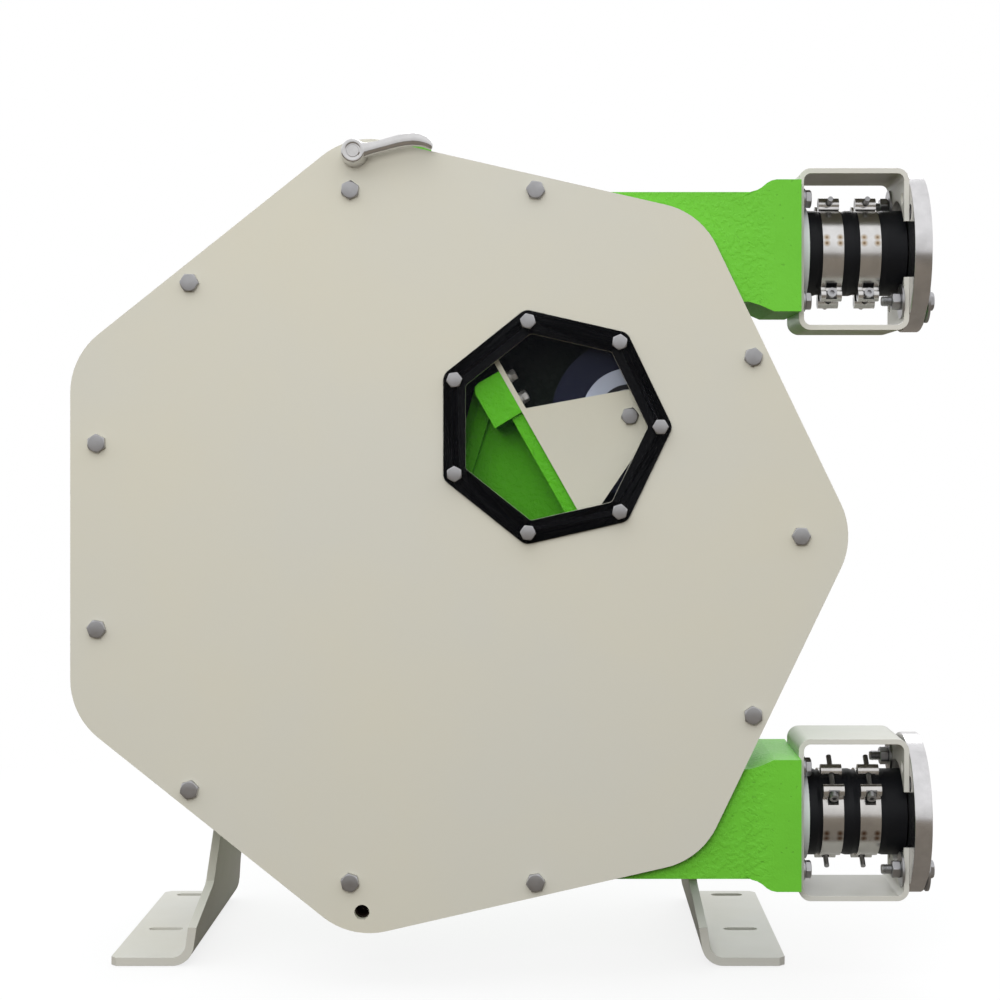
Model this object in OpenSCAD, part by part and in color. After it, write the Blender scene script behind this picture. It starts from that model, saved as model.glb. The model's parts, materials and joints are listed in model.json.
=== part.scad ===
// Peristaltic hose pump with a heptagonal front cover, two roller rotor and two flanged ports.
// Millimetres. X to the right, Y away from the viewer, Z up, the floor at Z 0.
// The origin is the centre of the four foot slots, under the rotor axis.

/* [Overall] */
// Height of the rotor axis above the floor
shaft_h = 516; // [400:1:700]
// Cover front face to the centre of the foot slots
cover_to_slots = 346; // [300:1:420]
// Radius of the hose centreline round the rotor
hose_bend_r = 328; // [280:1:360]
// Outside radius of the hose
hose_r = 50; // [40:0.5:55]
// Inside radius of the hose
hose_bore_r = 32; // [25:0.5:35]

/* [Front cover] */
// How far the flats of the cover stand past the housing's flange
cover_rim = 0.65; // [0:0.05:10]
// Corner rounding of the cover
cover_corner_r = 85; // [20:1:120]
// Thickness of the cover
cover_t = 10; // [6:0.5:14]

/* [Window] */
// Window centre to the right of the rotor axis
window_x = 123.4; // [100:0.1:140]
// Window centre above the rotor axis
window_z = 123.4; // [100:0.1:140]
// Radius of the circle of window bolts
window_bolt_r = 122; // [110:0.5:130]
// Circumscribed radius of the clear opening
window_clear_r = 108.7; // [90:0.1:112]

/* [Ports] */
// How far the port faces lie inside the rim of the housing's front flange
port_inset = 14; // [5:1:30]
// Length of the bracket that carries the flange
bracket_l = 127; // [110:1:150]
// Outside height of the bracket
bracket_h = 186; // [170:1:200]
// Depth of the bracket strap
bracket_w = 112; // [108:1:130]
// Strap thickness
strap_t = 6; // [4:0.5:8]
// Outside radius of the port flange
flange_r = 92.5; // [80:0.5:100]
// Thickness of the port flange
flange_t = 20; // [14:0.5:24]
// Radius of the flange bolt circle
flange_bolt_r = 72.5; // [65:0.5:76]

/* [Rotor] */
// Angle of the roller plate normal above the horizontal
rotor_turn = 29.55; // [0:0.05:90]
// Roller axle distance along that normal
axle_u = 252; // [240:0.5:260]
// Roller axle offset across that normal
axle_v = 13.7; // [0:0.1:20]
// Outside radius of a roller
roller_r = 89.5; // [80:0.5:95]

/* [Rotor depths] */
// Depth of the roller plates behind the cover's front face
plate_d0 = 26; // [24:0.5:30]
// Thickness of the roller plates
plate_t = 6; // [4:0.5:8]
// Depth of the front face of the rollers
roller_d0 = 37; // [36.8:0.1:40]
// Depth of the back face of the rollers
roller_d1 = 145; // [140:0.5:146]
// Depth of the front of the rotor hub
hub_d0 = 118; // [110:1:125]
// Depth of the back of the rotor
rotor_d1 = 164; // [160:0.5:165]

/* [Feet] */
// Sheet thickness of the legs
leg_t = 10; // [6:0.5:12]
// Slot centre from the middle of the pump
slot_x = 361; // [330:1:380]
// Half the distance between the two slots of a foot
slot_y = 94; // [60:1:120]
// Lean of the legs
leg_lean = 8.3; // [0:0.1:12]
// Outside radius of the bend between foot and leg
leg_bend_r = 26; // [16:1:40]

/* [Hidden] */
$fn = 96;
y0 = -cover_to_slots;
// Depths behind the front face of the cover
mid = 90;
gasket_t = 2;
housing_d0 = cover_t + gasket_t;
flange_d1 = housing_d0 + 18;
boss_d1 = housing_d0 + 50;
track_d1 = rotor_d1 + 4;
housing_d1 = track_d1 + 14;
ring_d1 = housing_d1 + 6;
ring_t = 22;
leg_pad_d1 = ring_d1 + 20;
drive_d1 = 330;
drive_t = 22;
spigot_l = 12;
bearing_w = 23;
bearing_ds = [ring_d1 + 17, drive_d1 - spigot_l - bearing_w];
lid_d1 = drive_d1 + 12;
shaft_end_d0 = lid_d1 + 3;
shaft_end_l = 85;
shaft_end_d1 = shaft_end_d0 + shaft_end_l;
// Radii about the rotor axis
track_r = hose_bend_r + hose_r + 0.5;
drum_r = track_r + 18.5;
cover_bolt_r = drum_r + 8;
front_flange_r = cover_bolt_r + 16;
port_x = front_flange_r - port_inset;
cover_r = (front_flange_r + cover_rim) / cos(180 / 7);
hub_r = 75;
bearing_r = 60;
journal_r = 32.5;
shoulder_r = 37.5;
seal_r = 50;
lid_bore_r = 30;
shaft_end_r = 27.5;
housing_bolt_r = 130;
housing_pad_r = housing_bolt_r + 30;
spigot_r = 95;
drive_bolt_r = 107.5;
drive_hole_r = 7;
drive_body_r = 86;
lid_bolt_r = 72;
// Bolts: radius, hole that holds it, hole that clears it and width across flats
m16 = 8;
m16_head = 10;
m16_flats = 24;
m12 = 6;
m12_held = 6.1;
m12_clear = 6.6;
m12_loose = 7;
m12_flats = 19;
m12_head = 7.5;
m12_nut = 10;
m12_washer_r = 12;
m12_washer_t = 2.5;
m12_washer_hole = 6.3;
m10 = 5;
m10_held = 5.05;
m10_clear = 5.5;
m10_head = 6.4;
m10_flats = 16;
m8 = 4;
m8_held = 4.05;
m8_clear = 4.5;
m8_flats = 13;
m8_head = 5.5;
// The ring of the bolts that fix the bearing housing, and the two rings behind it
housing_bolt_angles = [0 : 45 : 315];
drive_bolt_angles = [45 : 90 : 315];
lid_bolt_angles = [30 : 60 : 330];
bolt_angles = [0, 30, -30, 75, -75, 105, -105, 135, -135, 165, -165];
// The lever at the top, the open hole at the bottom and the lifting eye
lever_angle = 102.97;
lever_at = cover_r - 24.3;
lever_x = lever_at * cos(lever_angle);
lever_z = lever_at * sin(lever_angle);
lever_d0 = -27;
lever_base_d0 = -16;
lever_base_r = 14.5;
lever_hub_r = 13.2;
lever_cap_r = 8;
hole_angle = -102.16;
hole_at = cover_r - 32.6;
hole_x = hole_at * cos(hole_angle);
hole_z = hole_at * sin(hole_angle);
hole_r = 8.5;
ear_r = 18;
ear_d1 = boss_d1 - 14;
eye_x = -38;
eye_z = drum_r + 37;
eye_r = 11;
eye_boss_r = 24;
eye_t = 18;
// The window frame and its opening
pane_d0 = -11;
pane_d1 = -3;
window_corner_r = 13;
window_clear_corner_r = 5;
window_r = window_bolt_r + window_corner_r / cos(180 / 7);
window_angles = [for (i = [0 : 6]) i * 360 / 7];
// The ports
block_r0 = hose_bend_r - 62;
block_r1 = hose_bend_r + 63;
pad_r0 = hose_bend_r - 73;
pad_r1 = hose_bend_r + 77;
pad_t = 65;
neck_half_w = 76;
pad_half_w = 80;
port_hole_l = 30;
flange_angle = 54.6;
flange_hole_r = 9;
bracket_y = 42;
bracket_z = 59.1;
bracket_corner_r = 14;
ear_hole_r = 61;
ear_gap = 64;
big_washer_r = 25;
big_washer_t = 3;
ear_washer_r = 20;
insert_r = 30;
insert_collar_r = 48;
insert_collar_t = 4;
collar_r = 54.5;
collar_t = 7;
port_end = port_x + bracket_l;
head_x = port_x + strap_t + m12_washer_t;
face_x = port_end + flange_t;
band_r = 48.7;
band_t = 1.8;
neck_r = band_r - 0.15;
clamp_xs = [port_x + 41, port_x + 84];
clamp_w = 24;
neck_l = clamp_w / 2 + 2;
insert_x0 = clamp_xs[0] - 18;
loop_y = 15;
loop_z = 55;
loop_r = 7.5;
trunnion_r = 5.1;
screw_r = 3;
screw_seat = loop_y + trunnion_r + 0.1;
screw_tip = 37;
screw_head = 7;
screw_head_r = 5.5;
slot_w = 12.4;
upper_clamp_turn = -12;
lower_clamp_turn = 40;
// The flat, pinched stretch of the hose under the second roller
hose_wall = hose_r - hose_bore_r;
flat_half_w = 48;
pinch_l = 112;
// The legs
leg_bend_x = 315;
leg_arc_x = leg_bend_x - leg_t + leg_bend_r * (1 - sin(leg_lean)) / cos(leg_lean);
foot_x = 401;
foot_d0 = 112;
foot_d1 = 462;
leg_top = 430;
leg_pad_z0 = 234;
leg_bolt_zs = [270, 330, 390];
leg_bolt_in = 24;
leg_pad_r = 21;
slot_r = 7;
slot_half_l = 14;
// The rotor
chord_u = axle_u - roller_r - 15.5;
chord_t = 14;
chord_v0 = -100;
chord_v1 = 132;
web_d1 = hub_d0 + 16;
arm_d0 = roller_d1 + 5;
arm_hub_r = 33;
plate_lip_d1 = plate_d0 + 50;
plate_bolt_d = plate_d0 + 24;
plate_bolt_vs = [93, 121.5, -66, -88];
axle_bore_r = 12.5;
axle_hole_l = 36;
axle_collar_r = 17;
roller_hub_r = 55;
roller_bearing_r = 31;
roller_bearing_w = 16.8;
key_w = 18;
key_h = 11;
key_z0 = journal_r - 6;
end_key_w = 16;
end_key_t = 6;
end_key_turn = 45;
disc_t = 9;
disc_r = 45;
axle_r = sqrt(axle_u * axle_u + axle_v * axle_v);
axle_angle = rotor_turn + atan2(axle_v, axle_u);
green = [0.36, 0.68, 0.16];
cream = [0.80, 0.79, 0.72];
steel = [0.70, 0.70, 0.70];
dark = [0.08, 0.08, 0.09];

// Distance of the inside of a leg from the middle, at a height above the floor.
function leg_inside(z) = leg_bend_x - leg_t - z * tan(leg_lean);

// Puts its children in the pump frame, where Y counts back from the cover and Z from the axis.
module pump() {
  translate([0, y0, shaft_h])
    children();
}

// Copies its children to the cover bolts.
module on_cover_bolts() {
  for (a = bolt_angles)
    translate([cover_bolt_r * cos(a), 0, cover_bolt_r * sin(a)])
      children();
}

// Copies its children to the window bolts.
module on_window_bolts() {
  for (a = window_angles)
    translate([window_x + window_bolt_r * cos(a), 0, window_z + window_bolt_r * sin(a)])
      children();
}

// Copies its children round the rotor axis at some radius.
module on_ring(r, angles) {
  for (a = angles)
    translate([r * cos(a), 0, r * sin(a)])
      children();
}

// Copies its children to the bolts that hold the legs.
module on_leg_bolts() {
  for (s = [-1, 1])
    for (z = leg_bolt_zs)
      translate([s * (leg_inside(z) - leg_bolt_in), 0, z - shaft_h])
        children();
}

// Extrudes a shape drawn on the cover plane from one depth to another.
module slab(d0, d1) {
  translate([0, d1, 0])
    rotate([90, 0, 0])
      linear_extrude(height = d1 - d0)
        children();
}

// A rod along Y.
module ycyl(x, z, d0, d1, r) {
  translate([x, d0, z])
    rotate([-90, 0, 0])
      cylinder(h = d1 - d0, r = r);
}

// A six sided rod along Y, given its width across flats.
module yhex(x, z, d0, d1, flats) {
  translate([x, d0, z])
    rotate([-90, 0, 0])
      cylinder(h = d1 - d0, r = flats / sqrt(3), $fn = 6);
}

// A rod along X.
module xcyl(x0, x1, d, z, r) {
  translate([x0, d, z])
    rotate([0, 90, 0])
      cylinder(h = x1 - x0, r = r);
}

// A six sided rod along X.
module xhex(x0, x1, d, z, flats) {
  translate([x0, d, z])
    rotate([0, 90, 0])
      cylinder(h = x1 - x0, r = flats / sqrt(3), $fn = 6);
}

// A regular seven sided outline with round corners, one corner to the right.
module heptagon(r, rc) {
  c = r - rc / cos(180 / 7);
  polygon([
    for (i = [0 : 6])
      for (s = [-1, 1])
        [
          c * cos(i * 360 / 7) + rc * cos(i * 360 / 7 + s * 180 / 7),
          c * sin(i * 360 / 7) + rc * sin(i * 360 / 7 + s * 180 / 7)
        ]
  ]);
  for (i = [0 : 6])
    translate([c * cos(i * 360 / 7), c * sin(i * 360 / 7)])
      circle(rc);
}

// A rectangle with round corners about its middle.
module round_box(w, h, r) {
  square([w - 2 * r, h], center = true);
  square([w, h - 2 * r], center = true);
  for (a = [-1, 1])
    for (b = [-1, 1])
      translate([a * (w / 2 - r), b * (h / 2 - r)])
        circle(r);
}

// Puts its children at the middle of a port, on the hose axis.
module at_port(side) {
  translate([0, mid, side * hose_bend_r])
    children();
}

module port_block() {
  slab(mid - neck_half_w, mid + neck_half_w)
    polygon([[0, block_r0], [port_x - 35, block_r0], [port_x - 35, block_r1], [0, block_r1]]);
  slab(mid - pad_half_w, mid + pad_half_w)
    polygon([
      [port_x - pad_t, block_r0 + 2], [port_x - 47, block_r0 - 4], [port_x - 31, pad_r0],
      [port_x, pad_r0], [port_x, pad_r1], [port_x - 28, pad_r1], [port_x - 34, pad_r1 - 1.3],
      [port_x - 39, pad_r1 - 4], [port_x - 45, pad_r1 - 9], [port_x - 50, pad_r1 - 12],
      [port_x - 57, block_r1], [port_x - pad_t, block_r1 - 5]
    ]);
}

module housing() {
  color(green)
    pump()
      difference() {
        union() {
          slab(housing_d0, housing_d1)
            circle(drum_r);
          slab(housing_d0, flange_d1)
            circle(front_flange_r);
          on_cover_bolts()
            ycyl(0, 0, housing_d0, boss_d1, 15);
          slab(housing_d0, ear_d1)
            for (p = [[lever_x, lever_z], [hole_x, hole_z]]) {
              translate(p)
                circle(ear_r);
              rotate(atan2(p[1], p[0]))
                translate([drum_r - 12, 2 - ear_r])
                  square([norm(p) - drum_r + 12, 2 * ear_r - 4]);
            }
          port_block();
          mirror([0, 0, 1])
            port_block();
          slab(boss_d1 - eye_t, boss_d1)
            translate([eye_x, eye_z]) {
              circle(eye_boss_r);
              translate([-eye_boss_r, drum_r - 17 - eye_z])
                square([2 * eye_boss_r, eye_z - drum_r + 17]);
            }
          slab(housing_d1 - 2, ring_d1)
            circle(housing_pad_r);
          on_leg_bolts()
            ycyl(0, 0, housing_d1 - 2, leg_pad_d1, leg_pad_r);
          for (a = [20 : 40 : 340])
            rotate([0, -a, 0])
              translate([housing_pad_r - 10, housing_d1 - 1, -6])
                cube([drum_r - housing_pad_r + 3, 12, 12]);
        }
        slab(housing_d0 - 1, track_d1)
          circle(track_r);
        for (s = [-1, 1])
          xcyl(0, port_x + 1, mid, s * hose_bend_r, hose_r + 2);
        ycyl(0, 0, track_d1 - 8, ring_d1 + 12, spigot_r);
        on_cover_bolts()
          ycyl(0, 0, housing_d0 - 1, boss_d1 - 12, m12_held);
        ycyl(lever_x, lever_z, housing_d0 - 1, ear_d1 - 4, m12_held);
        ycyl(hole_x, hole_z, housing_d0 - 1, ear_d1 - 8, m12_loose);
        ycyl(eye_x, eye_z, boss_d1 - eye_t - 4, boss_d1 + 8, eye_r);
        for (s = [-1, 1])
          for (y = [-1, 1])
            for (z = [-1, 1])
              xcyl(port_x - port_hole_l, port_x + 1, mid + y * bracket_y,
                s * hose_bend_r + z * bracket_z, m12_held);
        on_leg_bolts()
          ycyl(0, 0, housing_d1 - 4, leg_pad_d1 + 1, m16 + 0.1);
        on_ring(housing_bolt_r, housing_bolt_angles)
          ycyl(0, 0, track_d1 - 2, ring_d1 + 2, m12_held);
      }
}

module bearing_housing() {
  color(green)
    pump()
      difference() {
        union() {
          ycyl(0, 0, track_d1, ring_d1, spigot_r - 0.1);
          ycyl(0, 0, ring_d1, ring_d1 + ring_t, housing_bolt_r + 20);
          ycyl(0, 0, ring_d1 + ring_t - 2, drive_d1, drive_body_r);
          ycyl(0, 0, drive_d1 - drive_t, drive_d1, drive_bolt_r + 17.5);
          for (a = [22.5 : 45 : 337.5])
            rotate([0, -a, 0])
              translate([drive_body_r - 16, ring_d1 + 12, -7])
                cube([drive_bolt_r - drive_body_r + 28.5, drive_d1 - ring_d1 - 30, 14]);
        }
        ycyl(0, 0, track_d1 - 8, ring_d1 + 4, seal_r + 0.05);
        ycyl(0, 0, track_d1 - 8, bearing_ds[0] + 1, bearing_r - 18);
        ycyl(0, 0, bearing_ds[0], drive_d1 + 10, bearing_r + 0.05);
        on_ring(housing_bolt_r, housing_bolt_angles)
          ycyl(0, 0, ring_d1 - 8, ring_d1 + ring_t + 10, m12_clear);
        on_ring(drive_bolt_r, drive_bolt_angles)
          ycyl(0, 0, drive_d1 - drive_t - 8, drive_d1 + 10, drive_hole_r);
        on_ring(lid_bolt_r, lid_bolt_angles)
          ycyl(0, 0, drive_d1 - 18, drive_d1 + 1, m8_held);
      }
}

module bearing_housing_bolts() {
  color(steel)
    pump()
      on_ring(housing_bolt_r, housing_bolt_angles) {
        ycyl(0, 0, track_d1 + 2, ring_d1 + ring_t, m12);
        yhex(0, 0, ring_d1 + ring_t, ring_d1 + ring_t + m12_head, m12_flats);
      }
}

module shaft_bearings() {
  color(steel)
    pump()
      for (d = bearing_ds)
        difference() {
          ycyl(0, 0, d, d + bearing_w, bearing_r);
          ycyl(0, 0, d - 1, d + bearing_w + 1, journal_r + 0.06);
        }
}

module shaft_seal() {
  color(dark)
    pump()
      difference() {
        ycyl(0, 0, track_d1 + 2, housing_d1, seal_r);
        ycyl(0, 0, track_d1 + 1, housing_d1 + 1, shoulder_r + 0.08);
      }
}

module bearing_cover() {
  color(green)
    pump()
      difference() {
        union() {
          ycyl(0, 0, drive_d1 - spigot_l, drive_d1, bearing_r - 0.05);
          ycyl(0, 0, drive_d1, lid_d1, lid_bolt_r + 12);
        }
        ycyl(0, 0, drive_d1 - spigot_l - 1, lid_d1 + 1, lid_bore_r + 0.1);
        on_ring(lid_bolt_r, lid_bolt_angles)
          ycyl(0, 0, drive_d1 - 1, lid_d1 + 1, m8_clear);
      }
}

module bearing_cover_bolts() {
  color(steel)
    pump()
      on_ring(lid_bolt_r, lid_bolt_angles) {
        ycyl(0, 0, drive_d1 - 16, lid_d1, m8);
        yhex(0, 0, lid_d1, lid_d1 + m8_head, m8_flats);
      }
}

// Points on the leg's bend at some radius, between two angles.
function leg_arc(r, from, to) =
  [for (i = [0 : 10]) let (a = from + (to - from) * i / 10) [leg_arc_x + r * cos(a), leg_bend_r + r * sin(a)]];

// The upper end of the leaning plate, on the side whose bend has this radius.
function leg_end(r) = [
  leg_arc_x - r * cos(leg_lean) - (leg_top + 20) * sin(leg_lean),
  leg_bend_r - r * sin(leg_lean) + (leg_top + 20) * cos(leg_lean)
];

// The bent sheet of a leg seen from the front: foot, bend and leaning plate.
module leg_section() {
  polygon(concat(
    [[foot_x, 0]],
    leg_arc(leg_bend_r, 270, 180 + leg_lean),
    [leg_end(leg_bend_r), leg_end(leg_bend_r - leg_t)],
    leg_arc(leg_bend_r - leg_t, 180 + leg_lean, 270),
    [[foot_x, leg_t]]
  ));
}

// The leg on the right, cut to its outline seen from the side.
module leg() {
  difference() {
    union() {
      intersection() {
        translate([0, y0 + foot_d1, 0])
          rotate([90, 0, 0])
            linear_extrude(height = foot_d1 - foot_d0)
              leg_section();
        translate([leg_inside(leg_top) - leg_t, y0, 0])
          rotate([90, 0, 90])
            linear_extrude(height = foot_x - leg_inside(leg_top) + 2 * leg_t)
              polygon([
                [foot_d0 - 2, -1], [foot_d1 + 2, -1], [foot_d1 + 2, 26], [foot_d1 - 19, 60],
                [foot_d1 - 62, 260], [foot_d1 - 132, leg_top], [leg_pad_d1, leg_top],
                [leg_pad_d1, 80], [leg_pad_d1 - 4, 76], [foot_d0 - 2, 45]
              ]);
      }
      translate([0, y0 + leg_pad_d1, 0])
        rotate([90, 0, 0])
          translate([0, 0, -leg_t])
            linear_extrude(height = leg_t)
              polygon([
                [leg_inside(leg_top - 5) + leg_t / 2, leg_top - 5],
                [leg_inside(leg_top - 5) - 2 * leg_bolt_in, leg_top - 5],
                [leg_inside(leg_pad_z0 + 16) - 2 * leg_bolt_in, leg_pad_z0 + 16],
                [leg_inside(leg_pad_z0) - 2 * leg_bolt_in + 16, leg_pad_z0],
                [leg_inside(leg_pad_z0) + leg_t / 2, leg_pad_z0]
              ]);
    }
    for (z = leg_bolt_zs)
      translate([leg_inside(z) - leg_bolt_in, y0 + leg_pad_d1 - 8, z])
        rotate([-90, 0, 0])
          cylinder(h = leg_t + 16, r = m16 + 0.6);
    for (s = [-1, 1])
      translate([slot_x, s * slot_y, -1]) {
        linear_extrude(height = leg_t + 2)
          square([2 * slot_half_l, 2 * slot_r], center = true);
        for (e = [-1, 1])
          translate([e * slot_half_l, 0, 0])
            cylinder(h = leg_t + 2, r = slot_r);
      }
    for (s = [-1, 1])
      translate([foot_x, y0 + (s < 0 ? foot_d0 : foot_d1), leg_t / 2])
        rotate([0, 0, 45])
          cube([10, 10, leg_t + 2], center = true);
  }
}

module right_leg() {
  color(cream)
    leg();
}

module left_leg() {
  color(cream)
    mirror([1, 0, 0])
      leg();
}

module leg_bolts() {
  color(steel)
    pump()
      on_leg_bolts() {
        ycyl(0, 0, housing_d1 + 2, leg_pad_d1 + leg_t, m16);
        yhex(0, 0, leg_pad_d1 + leg_t, leg_pad_d1 + leg_t + m16_head, m16_flats);
      }
}

module front_cover() {
  color(cream)
    pump()
      difference() {
        slab(0, cover_t)
          difference() {
            heptagon(cover_r, cover_corner_r);
            translate([window_x, window_z])
              heptagon(window_clear_r, window_clear_corner_r);
          }
        on_cover_bolts()
          ycyl(0, 0, -1, cover_t + 1, m12_clear);
        on_window_bolts()
          ycyl(0, 0, -1, cover_t + 1, m10_held);
        ycyl(lever_x, lever_z, -1, cover_t + 1, m12_clear);
        ycyl(hole_x, hole_z, -1, cover_t + 1, hole_r);
      }
}

module cover_gasket() {
  color(dark)
    pump()
      difference() {
        slab(cover_t, housing_d0)
          difference() {
            circle(front_flange_r - 1);
            circle(track_r + 11.5);
          }
        on_cover_bolts()
          ycyl(0, 0, cover_t - 1, housing_d0 + 1, m12_clear);
      }
}

module cover_bolts() {
  color(steel)
    pump()
      on_cover_bolts() {
        ycyl(0, 0, 0, boss_d1 - 20, m12);
        yhex(0, 0, -m12_head, 0, m12_flats);
      }
}

module window_plate(d0, d1, hole) {
  difference() {
    slab(d0, d1)
      translate([window_x, window_z])
        heptagon(window_r, window_corner_r);
    on_window_bolts()
      ycyl(0, 0, d0 - 1, d1 + 1, hole);
  }
}

module window_gasket() {
  color(dark)
    pump()
      difference() {
        window_plate(pane_d1, 0, m10_clear);
        slab(pane_d1 - 1, 1)
          translate([window_x, window_z])
            heptagon(window_clear_r, window_clear_corner_r);
      }
}

module window_pane() {
  color([0.7, 0.8, 0.85, 0.35])
    pump()
      window_plate(pane_d0, pane_d1, m10_clear);
}

module window_bolts() {
  color(steel)
    pump()
      on_window_bolts() {
        ycyl(0, 0, pane_d0, cover_t - 0.5, m10);
        yhex(0, 0, pane_d0 - m10_head, pane_d0, m10_flats);
      }
}

// Half the hose end, turned about the hose axis: necked under the two clamps.
module hose_end(side) {
  at_port(side)
    rotate([0, 90, 0])
      rotate_extrude()
        polygon([
          [0, 0], [hose_r, 0], [hose_r, clamp_xs[0] - neck_l - 4],
          [neck_r, clamp_xs[0] - neck_l], [neck_r, clamp_xs[0] + neck_l],
          [hose_r, clamp_xs[0] + neck_l + 5], [hose_r, clamp_xs[1] - neck_l - 5],
          [neck_r, clamp_xs[1] - neck_l], [neck_r, clamp_xs[1] + neck_l],
          [hose_r, clamp_xs[1] + neck_l + 5], [hose_r, port_end - 1], [0, port_end - 1]
        ]);
}

// A round tube bent into a whole ring about the rotor axis.
module tube_ring(r) {
  translate([0, mid, 0])
    rotate([90, 0, 0])
      rotate_extrude()
        translate([hose_bend_r, 0])
          circle(r);
}

module pump_hose() {
  color(dark)
    pump()
      difference() {
        union() {
          difference() {
            tube_ring(hose_r);
            translate([0, 0, -drum_r])
              cube([drum_r, 2 * mid, 2 * drum_r]);
          }
          hose_end(1);
          hose_end(-1);
          intersection() {
            translate([0, mid, 0])
              rotate([90, 0, 0])
                rotate_extrude()
                  translate([track_r - hose_wall - 0.3, 0]) {
                    square([2 * hose_wall, 2 * flat_half_w], center = true);
                    for (s = [-1, 1])
                      translate([0, s * flat_half_w])
                        circle(hose_wall);
                  }
            rotate([0, -axle_angle - 180, 0])
              translate([hose_bend_r - hose_r, 0, -pinch_l / 2])
                cube([2 * hose_r + hose_wall, 2 * mid, pinch_l]);
          }
        }
        for (s = [-1, 1])
          xcyl(0, port_end + 6, mid, s * hose_bend_r, hose_bore_r);
        difference() {
          tube_ring(hose_bore_r);
          translate([0, 0, -drum_r])
            cube([drum_r, 2 * mid, 2 * drum_r]);
          rotate([0, -axle_angle - 180, 0])
            translate([hose_bend_r - 2 * hose_r, 0, -0.85 * pinch_l])
              cube([4 * hose_r, 2 * mid, 1.7 * pinch_l]);
        }
        ycyl(-axle_r * cos(axle_angle), -axle_r * sin(axle_angle), 0, 2 * mid, roller_r + 0.2);
      }
}

module bracket(side) {
  at_port(side)
    translate([0, -mid, 0])
      difference() {
        slab(mid - bracket_w / 2, mid + bracket_w / 2)
          translate([port_x + bracket_l / 2, 0])
            difference() {
              round_box(bracket_l, bracket_h, bracket_corner_r);
              round_box(bracket_l - 2 * strap_t, bracket_h - 2 * strap_t, bracket_corner_r - strap_t);
            }
        xcyl(port_x - 1, port_x + strap_t + 1, mid, 0, hose_r + 1);
        xcyl(port_end - strap_t - 1, port_end + 1, mid, 0, ear_hole_r);
        translate([port_end - strap_t - 1, 0, -ear_gap / 2])
          cube([strap_t + 2, 2 * mid, ear_gap]);
        for (y = [-1, 1])
          for (z = [-1, 1]) {
            xcyl(port_x - 1, port_x + strap_t + 1, mid + y * bracket_y, z * bracket_z, m12_clear);
            xcyl(port_end - strap_t - 1, port_end + 1, mid + y * bracket_y, z * bracket_z, m12_loose);
          }
      }
}

module upper_bracket() {
  color(cream)
    pump()
      bracket(1);
}

module lower_bracket() {
  color(cream)
    pump()
      bracket(-1);
}

module bracket_bolts() {
  color(steel)
    pump()
      for (s = [-1, 1])
        for (y = [-1, 1])
          for (z = [-1, 1]) {
            xcyl(port_x - 22, head_x, mid + y * bracket_y, s * hose_bend_r + z * bracket_z, m12);
            xhex(head_x, head_x + m12_head, mid + y * bracket_y,
              s * hose_bend_r + z * bracket_z, m12_flats);
          }
}

module bracket_washers() {
  color(steel)
    pump()
      for (s = [-1, 1])
        for (y = [-1, 1])
          for (z = [-1, 1])
            difference() {
              xcyl(port_x + strap_t, head_x, mid + y * bracket_y,
                s * hose_bend_r + z * bracket_z, m12_washer_r);
              xcyl(port_x + strap_t - 1, head_x + 1, mid + y * bracket_y,
                s * hose_bend_r + z * bracket_z, m12_washer_hole);
            }
}

module hose_collars() {
  color([0.75, 0.76, 0.76])
    pump()
      for (s = [-1, 1])
        difference() {
          xcyl(port_x + strap_t, port_x + strap_t + collar_t, mid, s * hose_bend_r, collar_r);
          xcyl(port_x, port_x + strap_t + collar_t + 1, mid, s * hose_bend_r, hose_r + 0.1);
        }
}

module hose_insert(side) {
  difference() {
    union() {
      xcyl(insert_x0, face_x, mid, side * hose_bend_r, hose_bore_r - 0.1);
      xcyl(face_x - insert_collar_t, face_x, mid, side * hose_bend_r, insert_collar_r);
    }
    xcyl(insert_x0 - 1, face_x + 1, mid, side * hose_bend_r, insert_r);
  }
}

module upper_hose_insert() {
  color(steel)
    pump()
      hose_insert(1);
}

module lower_hose_insert() {
  color(steel)
    pump()
      hose_insert(-1);
}

module flange(side) {
  difference() {
    xcyl(port_end, face_x, mid, side * hose_bend_r, flange_r);
    xcyl(port_end - 1, face_x + 1, mid, side * hose_bend_r, hose_bore_r + 1);
    xcyl(face_x - insert_collar_t, face_x + 1, mid, side * hose_bend_r, insert_collar_r + 0.2);
    for (i = [0 : 3])
      xcyl(port_end - 1, face_x + 1,
        mid + flange_bolt_r * cos(flange_angle + 90 * i),
        side * hose_bend_r + flange_bolt_r * sin(flange_angle + 90 * i), flange_hole_r);
  }
}

module upper_flange() {
  color(steel)
    pump()
      flange(1);
}

module lower_flange() {
  color(steel)
    pump()
      flange(-1);
}

// Puts its children on the two fitted flange bolts of each port.
module fitted() {
  for (s = [-1, 1])
    for (i = [0, 2])
      translate([
        port_end,
        mid + flange_bolt_r * cos(flange_angle + 90 * i),
        s * hose_bend_r + flange_bolt_r * sin(flange_angle + 90 * i)
      ])
        children();
}

module flange_bolts() {
  color(steel)
    pump()
      fitted() {
        xcyl(-30, flange_t + big_washer_t, 0, 0, m12);
        xhex(flange_t + big_washer_t, flange_t + big_washer_t + m12_head, 0, 0, m12_flats);
      }
}

module flange_fender_washers() {
  color(steel)
    pump()
      fitted()
        difference() {
          xcyl(flange_t, flange_t + big_washer_t, 0, 0, big_washer_r);
          xcyl(flange_t - 1, flange_t + big_washer_t + 1, 0, 0, m12_washer_hole);
        }
}

module ear_washers() {
  color(steel)
    pump()
      fitted()
        difference() {
          xcyl(-strap_t - m12_washer_t, -strap_t, 0, 0, ear_washer_r);
          xcyl(-strap_t - 3, -strap_t + 1, 0, 0, m12_washer_hole);
        }
}

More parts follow.
